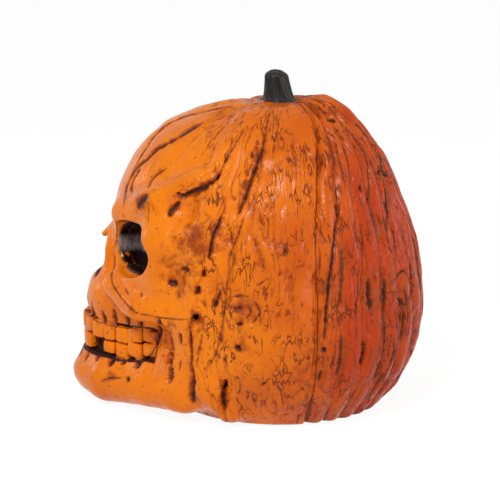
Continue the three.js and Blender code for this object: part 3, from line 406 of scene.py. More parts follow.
def mouthFields(x, y, z):         # the recess that the teeth stand in, and the teeth
    recess, teeth = np.full(x.shape, 99.0, np.float32), np.full(x.shape, 99.0, np.float32)
    near = (np.abs(x) < 52) & (y < -54) & (y > -120) & (z > 20) & (z < 60)
    partings, middles = toothPlaces()
    for side in (1, -1):
        mine = near & (x * side > -9)
        px, py, pz = x[mine] * side, y[mine], z[mine]
        lost = teethForm["missing"] if side > 0 else None
        upper = toothRow(px, py, pz, teethForm["upperBite"], teethForm["upperGum"], None, 3 + side)
        lower = toothRow(px, py, pz, teethForm["lowerBite"], teethForm["lowerGum"], lost, 8 + side)
        teeth[mine] = np.minimum(teeth[mine], np.minimum(upper, lower))
        mine = near & (x * side >= 0)
        px, py, pz = x[mine] * side, y[mine], z[mine]
        along, out = archPlace(px, py)
        high = np.interp(along, middles, teethForm["upperGum"]) + 0.5
        low = np.interp(along, middles, teethForm["lowerGum"]) - 0.5
        band = np.maximum(np.maximum(pz - high, low - pz), -out - teethForm["recess"])
        recess[mine] = np.maximum(band, (along - partings[-1]) * 0.8)
    return recess, teeth


def eyeLocal(x, y, z):            # across, up and outwards at the eye on that side
    yaw = math.radians(eyeForm["yaw"])
    ex, ey = np.abs(x) - eyeForm["at"][0], y - eyeForm["at"][1]
    return (ex * math.cos(yaw) + ey * math.sin(yaw), z - eyeForm["at"][2],
            ex * math.sin(yaw) - ey * math.cos(yaw))


def drawnOut(across):             # the dish's outer half is longer
    return np.where(across > 0, across * eyeForm["dishDraw"], across)


def toDish(across, up, out):      # the sunk rim round the eye
    return toRound(drawnOut(across), up, out, (0, 0, 0), eyeForm["dish"])


def closedHead(xSigned, y, z):    # the head before its eyes, nose and teeth
    x = np.abs(xSigned)
    rind, rounds, bones = headForms["rind"], headForms["rounds"], headForms["bones"]
    rise = np.where(z > rind["belt"], rind["rise"], rind["drop"]).astype(np.float32)
    d = toRound(x, y, z, (0, 0, rind["belt"]), (rind["halfWidth"], rind["halfDepth"], rise))
    for name in ("backLobe", "browVault"):
        d = melt(d, toRound(x, y, z, *rounds[name][:2]), rounds[name][2])
    at, radii, width = headForms["stemDimple"]
    d = hollowOut(d, toRound(x, y, z, at, radii), width)
    for name in ("temple", "innerCheek"):
        d = melt(d, toRound(x, y, z, *rounds[name][:2]), rounds[name][2])
    for points, radii, width in bones.values():
        d = melt(d, toBone(x, y, z, points, radii), width)
    for name in ("upperJaw", "gums", "mandible", "chin"):
        d = melt(d, toRound(x, y, z, *rounds[name][:2]), rounds[name][2])
    at, radii, width = headForms["underCheek"]
    return hollowOut(d, toRound(x, y, z, at, radii), width)


def toNose(x, y, z):              # either half of the nose opening
    at, radii = headForms["noseHalf"][:2]
    splay = math.radians(headForms["noseSplay"])
    dx, dz = np.abs(x) - at[0], z - at[2]
    u, w = dx * math.cos(splay) + dz * math.sin(splay), dz * math.cos(splay) - dx * math.sin(splay)
    return toRound(u, y, w, (0, at[1], 0), radii)


def headField(x, y, z):
    d = closedHead(x, y, z) + rindGrooves(x, y, z)
    recess, teeth = mouthFields(x, y, z)
    d = melt(hollowOut(d, recess, 1.4), teeth, teethForm["gumMelt"])
    across, up, out = eyeLocal(x, y, z)
    d = hollowOut(d, toDish(across, up, out), eyeForm["dishMelt"])
    bowl = (eyeForm["half"][0], eyeForm["half"][1], eyeForm["bowlDepth"])
    inward = np.minimum(out + eyeForm["recess"], 0)
    d = hollowOut(d, toRound(across, up, inward, (0, 0, 0), bowl), eyeForm["rimMelt"])
    d = hollowOut(d, toNose(x, y, z), headForms["noseHalf"][2])
    half, deep = headForms["seamGroove"]
    d = d + deep * np.exp(-(backSide(x, y, z) / half) ** 2) * (0.35 + 0.65 * ease(z, 70, 110))
    seatRadius, seatHeight = headForms["seat"]
    d = np.maximum(d, -np.maximum(np.hypot(x, y) - seatRadius, seatHeight - z))
    return hollowOut(d, z, headForms["baseRounding"])


# Meshing: the field is sampled in a band round its skin, block by block

def meshField(field, low, high, pitch):
    block, middling = 8, 2        # samples along a block, and along a part of it
    low, high = np.array(low, float), np.array(high, float)
    count = np.ceil((high - low) / (pitch * block)).astype(int)
    values = np.zeros(count * block, np.float32)
    band = 3.0 * pitch

    def fieldAt(places):
        p = (low + places * pitch).astype(np.float32)
        return field(p[:, 0], p[:, 1], p[:, 2])

    def lattice(counts, step):
        rows = [np.arange(c) * step for c in counts]
        return np.stack(np.meshgrid(*rows, indexing="ij"), -1).reshape(-1, 3)

    corners = lattice(count, block)
    for size, finer in ((block, middling), (middling, 1)):
        middle = fieldAt(corners + (size - 1) / 2)
        active = np.abs(middle) < size * pitch * 0.87 * 1.7 + band
        for corner, value in zip(corners[~active], middle[~active]):
            i, j, k = corner
            values[i:i + size, j:j + size, k:k + size] = math.copysign(band, value)
        steps = lattice([size // finer] * 3, finer)
        corners = (corners[active][:, None, :] + steps[None]).reshape(-1, 3)
    exact = np.clip(fieldAt(corners), -band, band)
    values[corners[:, 0], corners[:, 1], corners[:, 2]] = exact
    grid = openvdb.FloatGrid(band)
    grid.copyFromArray(values)
    points, quads = grid.convertToQuads(isovalue=0.0)
    return low + points.astype(float) * pitch, quads.astype(np.int64)


def slopeAt(field, points, reach=0.25):
    slope = np.zeros((len(points), 3))
    for axis in range(3):
        ahead, behind = points.copy(), points.copy()
        ahead[:, axis] += reach
        behind[:, axis] -= reach
        ahead, behind = ahead.astype(np.float32), behind.astype(np.float32)
        slope[:, axis] = field(*ahead.T) - field(*behind.T)
    return slope / (2 * reach)


def settle(field, points, rounds=2):        # moves points onto the skin
    for _ in range(rounds):
        slope = slopeAt(field, points)
        value = field(*points.astype(np.float32).T)
        points = points - slope * (value / np.maximum((slope ** 2).sum(1), 0.2))[:, None]
    return points


# Rays from the camera walk on from short of the head until they lie on its skin; start, end and onSkin
# are millimetres, stride is a share of what is left
rayWalk = {"start": 860.0, "end": 1300.0, "stride": 0.8, "steps": 70, "onSkin": 0.4}


def landOnSkin(field, origins, ways):
    reach = np.full(len(origins), rayWalk["start"])
    for _ in range(rayWalk["steps"]):
        p = origins + ways * reach[:, None]
        reach = np.minimum(reach + rayWalk["stride"] * field(*p.astype(np.float32).T), rayWalk["end"])
    p = origins + ways * reach[:, None]
    return p, np.abs(field(*p.astype(np.float32).T)) < rayWalk["onSkin"]


def pixelRays(pixels):
    pixels = np.array(pixels, float)
    focal, middle = viewpoint["focalPixels"], viewpoint["middle"]
    ways = (-lookBack + ((pixels[:, :1] - middle[0]) / focal) * lookRight
            - ((pixels[:, 1:] - middle[1]) / focal) * lookUp)
    return np.repeat(eyePoint[None], len(pixels), 0), ways / np.linalg.norm(ways, axis=1)[:, None]


# Carving seen in the photograph: pixels along each cut, then its half width and depth in millimetres

sideCuts = {
    "frownCrease": (((220, 168), (216, 175), (207, 183), (199, 190), (190, 195), (183, 198),
                     (176, 194)), 1.5, 1.6),
    "frownLine": (((246, 126), (236, 144), (227, 156), (220, 168)), 0.8, 0.8),
    "frownFork": (((180, 203), (174, 209), (168, 215)), 1.6, 1.3),
    "lobeGroove": (((264, 131), (262, 147), (258, 157), (254, 170), (248, 187), (242, 203),
                    (238, 213)), 1.3, 1.4),
    "lobeNick": (((253, 150), (251, 158)), 1.2, 1.2),
    "edgeSlit": (((224, 217), (220, 226), (215, 237), (213, 247), (210, 260)), 1.3, 1.3),
    "edgeLine": (((244, 216), (238, 233), (232, 249), (227, 268)), 0.8, 0.7),
    "edgeLineLow": (((230, 262), (226, 290), (222, 326), (214, 356), (204, 372)), 0.8, 0.7),
    "foreheadOne": (((162, 143), (150, 155), (136, 168), (129, 180), (125, 194), (122, 208)), 1.2, 1.3),
    "foreheadTwo": (((140, 168), (136, 175), (132, 184), (131, 194)), 0.9, 0.9),
    "foreheadThree": (((166, 168), (158, 173), (152, 179), (148, 188)), 1.0, 1.0),
    "foreheadFour": (((204, 121), (192, 128), (180, 135), (160, 146), (149, 155)), 1.4, 1.4),
    "foreheadFive": (((234, 105), (205, 110), (175, 119), (156, 134), (137, 162), (132, 178)), 1.2, 1.2),
    "browPatch": (((146, 193), (143, 199), (136, 208)), 3.8, 1.3),
    "browLine": (((148, 204), (148, 213), (147, 222)), 0.7, 0.7),
    "noseRootPit": (((122, 215), (123, 218)), 1.0, 1.0),
    "noseRootPitLow": (((124, 226), (125, 228)), 0.8, 0.8),
    "noseCrease": (((117, 226), (116, 236), (114, 250), (113, 266), (111, 279), (114, 288), (123, 301),
                    (135, 312), (146, 316)), 0.6, 0.9),
    "cheekUnder": (((135, 313), (158, 318), (176, 320), (191, 320)), 0.6, 0.8),
    "cheekSlit": (((124, 287), (128, 294)), 0.7, 0.7),
    "cheekDot": (((141, 293), (142, 297)), 0.9, 0.8),
    "cheekPitOne": (((168, 282), (177, 284)), 2.4, 1.9),
    "cheekPitTwo": (((181, 269), (189, 270)), 1.6, 1.2),
    "cheekPitThree": (((205, 271), (204, 278)), 1.8, 1.9),
    "cheekPitFour": (((198, 288), (197, 296)), 2.1, 2.0),
    "templeNickOne": (((190, 232), (193, 240)), 1.0, 0.6),
    "templeNickTwo": (((205, 240), (207, 243)), 0.8, 0.6),
    "cornerHole": (((193, 317), (196, 323)), 3.0, 2.6),
    "edgePit": (((216, 300), (215, 307)), 1.6, 1.6),
    "edgePitTail": (((220, 290), (217, 300)), 0.9, 0.8),
    "jawLine": (((189, 327), (189, 351), (189, 367), (191, 380), (192, 405)), 0.9, 1.2),
    "jawLineLow": (((191, 376), (192, 392), (193, 404)), 1.9, 1.8),
    "jawHole": (((170, 345), (170, 358), (169, 369), (168, 381)), 2.5, 2.6),
    "jawHoleTop": (((164, 327), (168, 336), (170, 345)), 0.8, 0.8),
    "jawSlit": (((180, 334), (180, 345)), 1.1, 1.2),
    "jawSlitLow": (((180, 361), (179, 371)), 0.8, 0.8),
    "jawSlitFar": (((203, 330), (199, 350), (196, 368)), 0.7, 0.6),
    "mouthCorner": (((158, 319), (160, 331), (157, 345)), 1.3, 1.5),
    "mouthCornerLow": (((157, 345), (150, 356), (142, 362), (133, 367)), 0.6, 0.7),
    "chinCrease": (((100, 382), (109, 378), (121, 378)), 0.9, 0.9),
    "chinPit": (((126, 377), (128, 381)), 1.6, 1.5),
    "earSlot": (((232, 309), (241, 308)), 1.2, 1.2),
    "earPit": (((236, 324), (243, 325)), 1.7, 1.8),
    "earCrescent": (((252, 300), (258, 308), (259, 315), (251, 324)), 0.9, 1.0),
    "earLoop": (((247, 306), (250, 312), (247, 318)), 0.9, 0.9),
    "earBrow": (((229, 298), (240, 296), (250, 297)), 0.8, 0.8),
    "earDash": (((257, 286), (269, 278)), 0.7, 0.8),
    "lobePit": (((236, 346), (239, 352)), 2.6, 2.4),
    "lobeDotOne": (((219, 339), (222, 341)), 1.2, 1.2),
    "lobeDotTwo": (((223, 359), (225, 362)), 1.1, 1.0),
    "footSlot": (((224, 383), (224, 397), (224, 412)), 1.9, 2.2),
    "footDash": (((270, 379), (261, 387)), 1.1, 1.0),
    "lobeOvalOne": (((289, 156), (290, 162)), 1.2, 0.9),
    "lobeOvalTwo": (((293, 161), (294, 166)), 1.1, 0.9),
    "lobeTick": (((272, 134), (275, 141)), 0.9, 0.8),
    "lobeScar": (((284, 248), (285, 254)), 1.3, 1.0),
    "rindGroove": (((338, 204), (337, 224), (334, 250), (331, 271), (328, 296), (326, 314),
                    (324, 342)), 1.3, 1.4),
    "rindPitOne": (((316, 338), (317, 346)), 1.5, 1.4),
    "rindPitTwo": (((323, 348), (324, 354)), 1.8, 1.7),
    "rindPitThree": (((309, 357), (309, 362)), 1.2, 1.1),
    "rindPitFour": (((320, 371), (318, 382)), 1.2, 1.1),
    "rindDash": (((337, 344), (335, 358), (331, 368)), 1.0, 1.0),
    "rindPitHigh": (((327, 119), (335, 121)), 1.3, 1.4),
    "rindLineOne": (((331, 133), (339, 160), (343, 174), (346, 189)), 0.9, 0.9),
    "rindLineTwo": (((346, 125), (354, 135), (362, 146), (367, 158), (369, 172), (369, 205)), 1.0, 1.1),
    "rindLineThree": (((338, 109), (352, 120), (364, 132), (375, 144), (382, 158), (385, 181), (387, 206),
                       (389, 243)), 1.1, 1.2),
    "rindLineFour": (((360, 262), (359, 288), (356, 319)), 0.9, 0.9),
    "rindHole": (((369, 279), (369, 299), (370, 310)), 2.0, 1.9),
    "rindHoleLow": (((364, 342), (363, 352), (361, 365)), 1.3, 1.3),
    "rindSmallHole": (((385, 279), (385, 300), (385, 314)), 1.4, 1.4),
    "rindSmallTail": (((384, 316), (382, 328)), 0.8, 0.8),
    "knotRing": (((396, 282), (399, 274), (405, 271), (410, 280), (411, 297), (406, 306), (400, 301),
                  (396, 292)), 0.9, 1.2),
    "footPit": (((351, 392), (350, 398)), 1.5, 1.3),
    "footLine": (((385, 372), (378, 384), (371, 395)), 0.8, 0.8),
}


# Wide soft folds, given as the cuts are; they take no wash
sideFolds = {
    "frownFold": (((228, 155), (218, 170), (207, 182), (190, 194), (176, 199)), 5.0, 1.8),
    "lobeFold": (((266, 128), (258, 155), (248, 187), (238, 214)), 4.0, 1.3),
    "edgeFold": (((226, 214), (215, 237), (209, 262), (201, 290), (196, 318), (190, 350),
                  (191, 385)), 4.0, 1.8),
    "jawFold": (((168, 330), (170, 358), (168, 384)), 5.0, 2.0),
    "footFold": (((226, 372), (224, 397), (222, 416)), 4.0, 1.8),
    "earFold": (((240, 302), (247, 312), (241, 322)), 5.0, 1.6),
}


# Brown stains left by the wiped wash: pixel, reach in millimetres and strength
sideStains = {
    "temple": ((196, 243), 15.0, 0.75),
    "templeLow": ((172, 262), 9.0, 0.6),
    "templeEdge": ((212, 228), 8.0, 0.6),
    "cheek": ((182, 279), 11.0, 0.7),
    "cheekFront": ((164, 276), 6.0, 0.5),
    "brow": ((140, 202), 7.0, 0.9),
    "browFront": ((127, 196), 7.0, 0.5),
    "noseRoot": ((121, 222), 4.0, 0.8),
    "crease": ((183, 200), 7.0, 0.5),
    "cheekUnder": ((170, 321), 6.0, 0.5),
    "mouthCorner": ((157, 336), 5.0, 0.7),
    "jawHole": ((169, 358), 6.0, 0.7),
    "corner": ((197, 322), 6.0, 0.8),
    "ear": ((244, 311), 11.0, 0.7),
    "lobe": ((238, 345), 7.0, 0.6),
    "foot": ((297, 381), 12.0, 0.5),
    "rindLow": ((318, 352), 12.0, 0.5),
    "rindMiddle": ((372, 290), 14.0, 0.6),
    "knot": ((403, 288), 9.0, 0.6),
    "chin": ((112, 374), 6.0, 0.4),
}


def smoothPath(points, spacing):  # a curve through the points, in even steps
    points = np.array(points, float)
    padded = np.vstack([2 * points[0] - points[1], points, 2 * points[-1] - points[-2]])
    path = []
    for a, b, c, d in zip(padded, padded[1:], padded[2:], padded[3:]):
        steps = max(2, int(np.linalg.norm(c - b) / spacing) + 1)
        t = (np.arange(steps) / steps)[:, None]
        path.append(0.5 * (2 * b + (c - a) * t + (2 * a - 5 * b + 4 * c - d) * t ** 2
                           + (3 * b - 3 * c + d - a) * t ** 3))
    return np.vstack(path + [points[-1:]])


def carveAlong(points, path, half, deep, depth, ink):
    low, high = path.min(0) - half - 1, path.max(0) + half + 1
    near = np.nonzero(((points > low) & (points < high)).all(1))[0]
    if len(near) == 0 or len(path) < 2:
        return
    p = points[near]
    best = np.full(len(near), 99.0)
    share = np.zeros(len(near))
    for i, (a, b) in enumerate(zip(path, path[1:])):
        ab = b - a
        if ab @ ab > 20:          # the path jumps to a form behind
            continue
        t = np.clip(((p - a) @ ab) / max(ab @ ab, 1e-9), 0, 1)
        apart = np.linalg.norm(p - a - t[:, None] * ab, axis=1)
        closer = apart < best
        best[closer] = apart[closer]
        share[closer] = (i + t[closer]) / (len(path) - 1)
    taper = np.clip(0.45 + 1.4 * np.sqrt(np.clip(share * (1 - share), 0, 1)), 0, 1)
    width = half * taper * (1 + 0.45 * smoothNoise(p / 2.4, 17) + 0.4 * smoothNoise(p / 1.1, 18))
    cut = taper * np.clip(1 - (best / width) ** 2, 0, 1) ** 1.3
    depth[near] = np.maximum(depth[near], deep * cut)
    ink[near] = np.maximum(ink[near], cut * min(1.0, 0.5 + 0.35 * deep))


print("forms ready")

headMesh = {"pitch": 0.72, "quickPitch": 1.5, "low": (-84, -126, -3), "high": (84, 92, 180)}
pitch = headMesh["pitch"]
skinPoints, skinQuads = meshField(headField, headMesh["low"], headMesh["high"], pitch)
skinPoints = settle(headField, skinPoints)
skinSlope = slopeAt(headField, skinPoints)
skinNormals = skinSlope / np.maximum(np.linalg.norm(skinSlope, axis=1), 1e-6)[:, None]
print("head skin", len(skinPoints), "points")


# Carving: the photographed cuts on both sides, roots and gums by the teeth, then bark and unevenness

carving = {
    "farSideDrift": 1.3,          # millimetres that the far side's cuts stray
    "rootGroove": (1.5, 1.6, 11.0),    # half width, depth and length above the upper gums
    "rootPit": (2.3, 2.2, 6.5),
    "gumLine": (0.75, 0.8),
    "barkPitch": (3.0, 20.0),     # across and along the grain
    "barkDepth": 0.75,
    "lumps": ((14.0, 0.55), (6.5, 0.28)),    # spacing and height
    "sunk": 0.4,                  # millimetres, so that the lumps stay inside the moulded outline
    "backDashes": 26,
    "backPits": 12,
    "backTurn": 34.0,             # degrees to each side
    "backHeights": (30, 150),
    "backReach": 80,              # from the stem's axis
    "grainFan": 56.0,             # height that the grain fans out from
    "grainRadii": (72.0, 95.0),   # that turn its angles into millimetres
    "spreadRounds": 12,           # steps from point to point that the wash's halo spreads
}


def grainPlace(points):           # millimetres across and along the lines that run down from the stem
    x, y, z = points.T
    around = np.abs(np.arctan2(x, y))
    down = np.arctan2(np.hypot(x, y), z - carving["grainFan"])
    return around * carving["grainRadii"][0], down * carving["grainRadii"][1]


def photographedCuts(listed, shake):    # where cuts land on the near side, and stray copies on the far side
    paths = [smoothPath(pixels, 1.2) for pixels, half, deep in listed.values()]
    owner = np.repeat(np.arange(len(paths)), [len(path) for path in paths])
    landed, hit = landOnSkin(headField, *pixelRays(np.vstack(paths)))
    cuts = []
    for i, (pixels, half, deep) in enumerate(listed.values()):
        path = landed[hit & (owner == i)]
        drift = shake.normal(0, carving["farSideDrift"], 3) * (0, 1, 1)
        cuts.append((path, half, deep))
        cuts.append((path * (-1, 1, 1) + drift, half * shake.uniform(0.85, 1.15), deep))
    return cuts


def archLine(along, heights, out, side):
    x, y, tx, ty = onArch(np.asarray(along, float), out)
    return np.column_stack([x * side, y, heights])


def mouthCuts(shake):             # grooves above the upper roots, pits below the lower ones, and gum lines
    cuts = []
    partings, middles = toothPlaces()
    for side in (1, -1):
        for place, parting in enumerate(partings[:-1]):
            half, deep, tall = carving["rootGroove"]
            gum = teethForm["upperGum"][place]
            heights = np.linspace(gum + 1.0, gum + tall * shake.uniform(0.7, 1.15), 8)
            path = archLine(np.full(8, parting + shake.uniform(-0.6, 0.6)), heights, 3.0, side)
            cuts.append((path, half, deep))
            half, deep, tall = carving["rootPit"]
            gum = teethForm["lowerGum"][place]
            heights = np.linspace(gum - 2.0 - tall * shake.uniform(0.7, 1.2), gum - 2.0, 6)
            path = archLine(np.full(6, parting + shake.uniform(-0.8, 0.8)), heights, 4.0, side)
            cuts.append((path, half * shake.uniform(0.7, 1.1), deep))
        along = np.linspace(0, partings[-1], 90)
        share = np.interp(along, partings, np.arange(len(partings)))
        scallop = np.abs(np.sin(share * math.pi))
        for name, lift in (("upperGum", 0.4), ("lowerGum", -0.4)):
            gums = np.interp(along, middles, teethForm[name])
            path = archLine(along, gums + lift + np.sign(lift) * 0.7 * scallop, 3.0, side)
            cuts.append((path, *carving["gumLine"]))
    return cuts


def backCuts(shake):
    cuts = []
    widest, far = carving["backTurn"], carving["backReach"]
    for i in range(carving["backDashes"] + carving["backPits"]):
        dash = i < carving["backDashes"]
        turnBack = math.radians(shake.uniform(-widest, widest))
        top = shake.uniform(*carving["backHeights"])
        heights = np.linspace(top, max(top - (shake.uniform(8, 45) if dash else shake.uniform(1, 4)), 8), 14)
        angles = turnBack + 0.02 * np.sin(heights / 7.0 + i)
        half = shake.uniform(0.7, 1.2) if dash else shake.uniform(1.2, 2.0)
        cuts.append((np.stack([far * np.sin(angles), far * np.cos(angles), heights], -1), half, half))
    return cuts


def carveHead(points):
    shake = np.random.default_rng(11)
    cuts = photographedCuts(sideCuts, shake) + mouthCuts(shake) + backCuts(shake)
    folds = photographedCuts(sideFolds, shake)
    ends = np.cumsum([len(path) for path, half, deep in cuts])
    seated = np.split(settle(headField, np.vstack([path for path, half, deep in cuts]), 5), ends[:-1])
    depth, ink, fold, spare = (np.zeros(len(points)) for _ in range(4))
    for path, (guess, half, deep) in zip(seated, cuts):
        carveAlong(points, path, half, deep, depth, ink)
    for path, half, deep in folds:
        carveAlong(points, path, half, deep, fold, spare)
    return depth + fold, ink


def barkDepth(points, rindShare):
    across, along = grainPlace(points)
    drift = smoothNoise(points / 22.0, 5)
    wide, tall = carving["barkPitch"]
    lines = smoothNoise(np.stack([across / wide + 1.3 * drift, along / tall, points[:, 0] / 60.0], -1), 21)
    patch = ease(smoothNoise(points / 17.0, 8), -0.6, 0.3)
    return carving["barkDepth"] * np.exp(-(lines / 0.16) ** 2) * patch * rindShare


def stainedPlaces(points):
    pixels = [pixel for pixel, reach, strength in sideStains.values()]
    landed, hit = landOnSkin(headField, *pixelRays(pixels))
    stain = np.zeros(len(points))
    for place, found, (pixel, reach, strength) in zip(landed, hit, sideStains.values()):
        for side in (1, -1):
            apart = ((points - place * (side, 1, 1)) ** 2).sum(1)
            stain = np.maximum(stain, found * strength * np.exp(-apart / reach ** 2))
    return stain


def eyeLacquer(points):           # the eyes' dark gloss, with orange overspray low on the wall by the nose
    across, up, out = eyeLocal(*points.T)
    inside = 1 - ease(np.hypot(drawnOut(across) / eyeForm["dish"][0], up / eyeForm["dish"][1]), 0.9, 0.97)
    jagged = 2.2 * smoothNoise(points / 2.6, 41) + 1.2 * smoothNoise(points / 1.2, 42)
    return inside * ease(-out, 0.6, 1.6) * ease(up + 0.86 * across + jagged, -22.5, -20.5)


def noseFloor(points):            # the wash lies thick inside the nose
    x, y, z = points.T
    return 0.9 * (1 - ease(np.abs(toNose(x, y, z)), 0.5, 1.4)) * ease(y, -108.5, -104.0)


def mouthFloor(points):           # bare recess between the crowns, where the wash stays
    recess, teeth = mouthFields(*points.astype(np.float32).T)
    return (1 - ease(np.abs(recess), 0.5, 1.3)) * ease(teeth, 0.3, 1.0)


def ribValleys(points):           # thin dark lines that come and go along the ribs' valleys
    x, y, z = points.T
    fromBack, edge, rib = ribWave(x, y, z)
    broken = ease(smoothNoise(points / (9.0, 9.0, 22.0), 71), -0.5, 0.25)
    return ease(1 - rib, 0.74, 0.95) * (fromBack < edge * 0.985) * broken * ease(np.hypot(x, y), 16, 34)


def unevenness(points):
    return sum(height * smoothNoise(points / spacing, 30 + i)
               for i, (spacing, height) in enumerate(carving["lumps"])) - carving["sunk"]


def neighbourMean(values, edges, counts):
    total = np.zeros_like(values)
    for axis in range(values.shape[1]):
        total[:, axis] = (np.bincount(edges[:, 0], values[edges[:, 1], axis], len(values))
                          + np.bincount(edges[:, 1], values[edges[:, 0], axis], len(values)))
    return total / counts[:, None]


# How far each point lies below its surroundings, close by and wider, and the cuts' ink, softened and spread
def hollowness(points, quads, normals, ink):
    edges = np.concatenate([quads[:, [i, (i + 1) % 4]] for i in range(4)])
    edges = np.unique(np.sort(edges, axis=1), axis=0)
    counts = np.bincount(edges.ravel(), minlength=len(points)).astype(float)
    smooth = neighbourMean(points, edges, counts)
    close = ((smooth - points) * normals).sum(1)
    softInk = 0.5 * ink + 0.5 * neighbourMean(ink[:, None], edges, counts)[:, 0]
    spread = np.column_stack([smooth, ink])
    for _ in range(carving["spreadRounds"]):
        spread = neighbourMean(spread, edges, counts)
    return close, ((spread[:, :3] - points) * normals).sum(1), softInk, spread[:, 3]


xs, ys, zs = skinPoints.T
rindShare = ease(ys, -52, -30)
toothShare = np.exp(-np.maximum(mouthFields(*skinPoints.astype(np.float32).T)[1], 0) / 1.5)
cutDepth, ink = carveHead(skinPoints)
bark = barkDepth(skinPoints, np.maximum(rindShare, 0.2)) * (1 - toothShare)
steady = ease(zs, 0.5, 5.0) * ease(np.hypot(xs, ys), 11.5, 16.0)
rise = unevenness(skinPoints) * (1 - 0.75 * toothShare)
moved = skinPoints + skinNormals * ((rise - bark - cutDepth) * steady)[:, None]
limits = np.array(cadBox) * 1000.0 - (0, stemAxisY, 0)
moved = np.clip(moved, limits[0], limits[1])
close, wide, softInk, halo = hollowness(moved, skinQuads, skinNormals, ink)
streakReach = np.hypot(xs, ys) + 5 * smoothNoise(skinPoints / 3.0, 51)
seatStreaks = (1 - ease(streakReach, 11.0, 17.0)) * ease(zs, 160, 166)
valleys = ribValleys(skinPoints)
creases = (close / 0.3 - 0.35) * (1 - 0.7 * rindShare)
pools = [softInk, creases, 0.8 * seatStreaks, mouthFloor(skinPoints), noseFloor(skinPoints), 0.7 * valleys]
wash = np.clip(np.maximum.reduce(pools), 0, 1)
dirt = [0.95 * stainedPlaces(skinPoints), bark / 1.3, wide / 0.9 - 0.15, 2.2 * halo, valleys]
stain = np.clip(np.maximum.reduce(dirt), 0, 1)
lacquer = eyeLacquer(skinPoints)
across, along = grainPlace(skinPoints)
print("carved, deepest", round(float(cutDepth.max()), 2))


# Shells: the skin is hollowed, opened for the base and the stem, and parted along the seams

shellForm = {
    "wall": 4.0,                  # millimetres, under the deepest cuts
    "floor": 6.0,
    "hollowPitch": 2.6,
    "rebate": (86.4, 59.8, 6.3, 3.2),       # length, width, corner and height of the flange's recess
    "boxWay": (62.6, 34.8, 6.6),  # length, width and middle of the battery box's hole
    "switchWay": (16.6, 7.2, -20.0),
    "wayCorner": 0.5,
    "overcut": 9.0,               # that the cutters reach below the base
    "bosses": (36.9, 23.6, 4.1, 18.1, 1.6, 15.1),    # places, radius, top, and the pilot's radius and top
    "crownUnder": 160.77,
    "spigotHole": 4.8,
    "spigotHeights": (156.77, 178.0),
    "wedgeReach": 105.0,          # the parting's walls end clear of the rind
}


def openHead(x, y, z):
    across, up, out = eyeLocal(x, y, z)
    d = np.maximum(closedHead(x, y, z), -toDish(across, up, out))
    at, radii = headForms["noseHalf"][:2]
    return np.maximum(d, -toRound(np.abs(x), y, z, at, radii))


def hollowField(x, y, z):
    d = np.maximum(openHead(x, y, z) + shellForm["wall"], shellForm["floor"] - z)
    d = np.maximum(d, shellForm["wall"] - mouthFields(x, y, z)[0])
    d = np.maximum(d, np.minimum(headForms["crownRadius"] - np.hypot(x, y), z - shellForm["crownUnder"]))
    px, py, radius, top = shellForm["bosses"][:4]
    return np.maximum(d, np.minimum(radius - np.hypot(np.abs(x) - px, np.abs(y) - py), top - z))


def prism(name, outline, low, high):
    outline = np.array(outline, float)
    x, y = outline.T
    if (x * np.roll(y, -1) - y * np.roll(x, -1)).sum() < 0:
        outline = outline[::-1]
    n = len(outline)
    points = np.vstack([np.column_stack([outline, np.full(n, level)]) for level in (low, high)])
    sides = [(i, (i + 1) % n, n + (i + 1) % n, n + i) for i in range(n)]
    return newPiece(name, toFrame(points), [tuple(range(n - 1, -1, -1)), tuple(range(n, 2 * n))] + sides)


def ringOutline(x, y, radius, count=32):
    angles = np.arange(count) * 2 * math.pi / count
    return [(x + radius * math.cos(a), y + radius * math.sin(a)) for a in angles]


def plateOutline(length, width, corner, y=0.0):
    outline = []
    for sx, sy, start in ((1, 1, 0), (-1, 1, 90), (-1, -1, 180), (1, -1, 270)):
        for a in np.radians(start + np.linspace(0, 90, 7)):
            outline.append((sx * (length / 2 - corner) + corner * math.cos(a),
                            y + sy * (width / 2 - corner) + corner * math.sin(a)))
    return outline


def backWedge(grow, ring):        # the back piece's share, level by level, with the stem's seat left out
    far = shellForm["wedgeReach"]
    levels = [-20.0, *np.linspace(100.0, 166.0, 17), 260.0]
    points, faces = [], []
    for height in levels:
        edge = float(seamAt(height))
        nx, ny = math.cos(edge) * grow, -math.sin(edge) * grow
        reach = math.sqrt(ring ** 2 - grow ** 2)
        inner = (reach * math.sin(edge) + nx, reach * math.cos(edge) + ny)
        outer = (far * math.sin(edge) + nx, far * math.cos(edge) + ny)
        start = math.atan2(*inner)
        arc = [(ring * math.sin(a), ring * math.cos(a)) for a in np.linspace(start, -start, 25)]
        outline = arc + [(-outer[0], outer[1]), (-2 * far, 3 * far), (2 * far, 3 * far), outer]
        points += [(x, y, height) for x, y in outline]
    n = len(outline)
    for level in range(len(levels) - 1):
        low = level * n
        faces += [(low + (i + 1) % n, low + i, low + n + i, low + n + (i + 1) % n) for i in range(n)]
    faces += [tuple(range(n)), tuple(range(len(points) - 1, len(points) - n - 1, -1))]
    return newPiece("wedge", toFrame(points), faces)


def cutPiece(piece, cutter, operation):
    modifier = piece.modifiers.new("cut", "BOOLEAN")
    modifier.operation = operation
    modifier.solver = "MANIFOLD"
    modifier.object = cutter
    graph = bpy.context.evaluated_depsgraph_get()
    mesh = bpy.data.meshes.new_from_object(piece.evaluated_get(graph), preserve_all_data_layers=True,
                                           depsgraph=graph)
    piece.modifiers.clear()
    old, piece.data = piece.data, mesh
    bpy.data.meshes.remove(old)


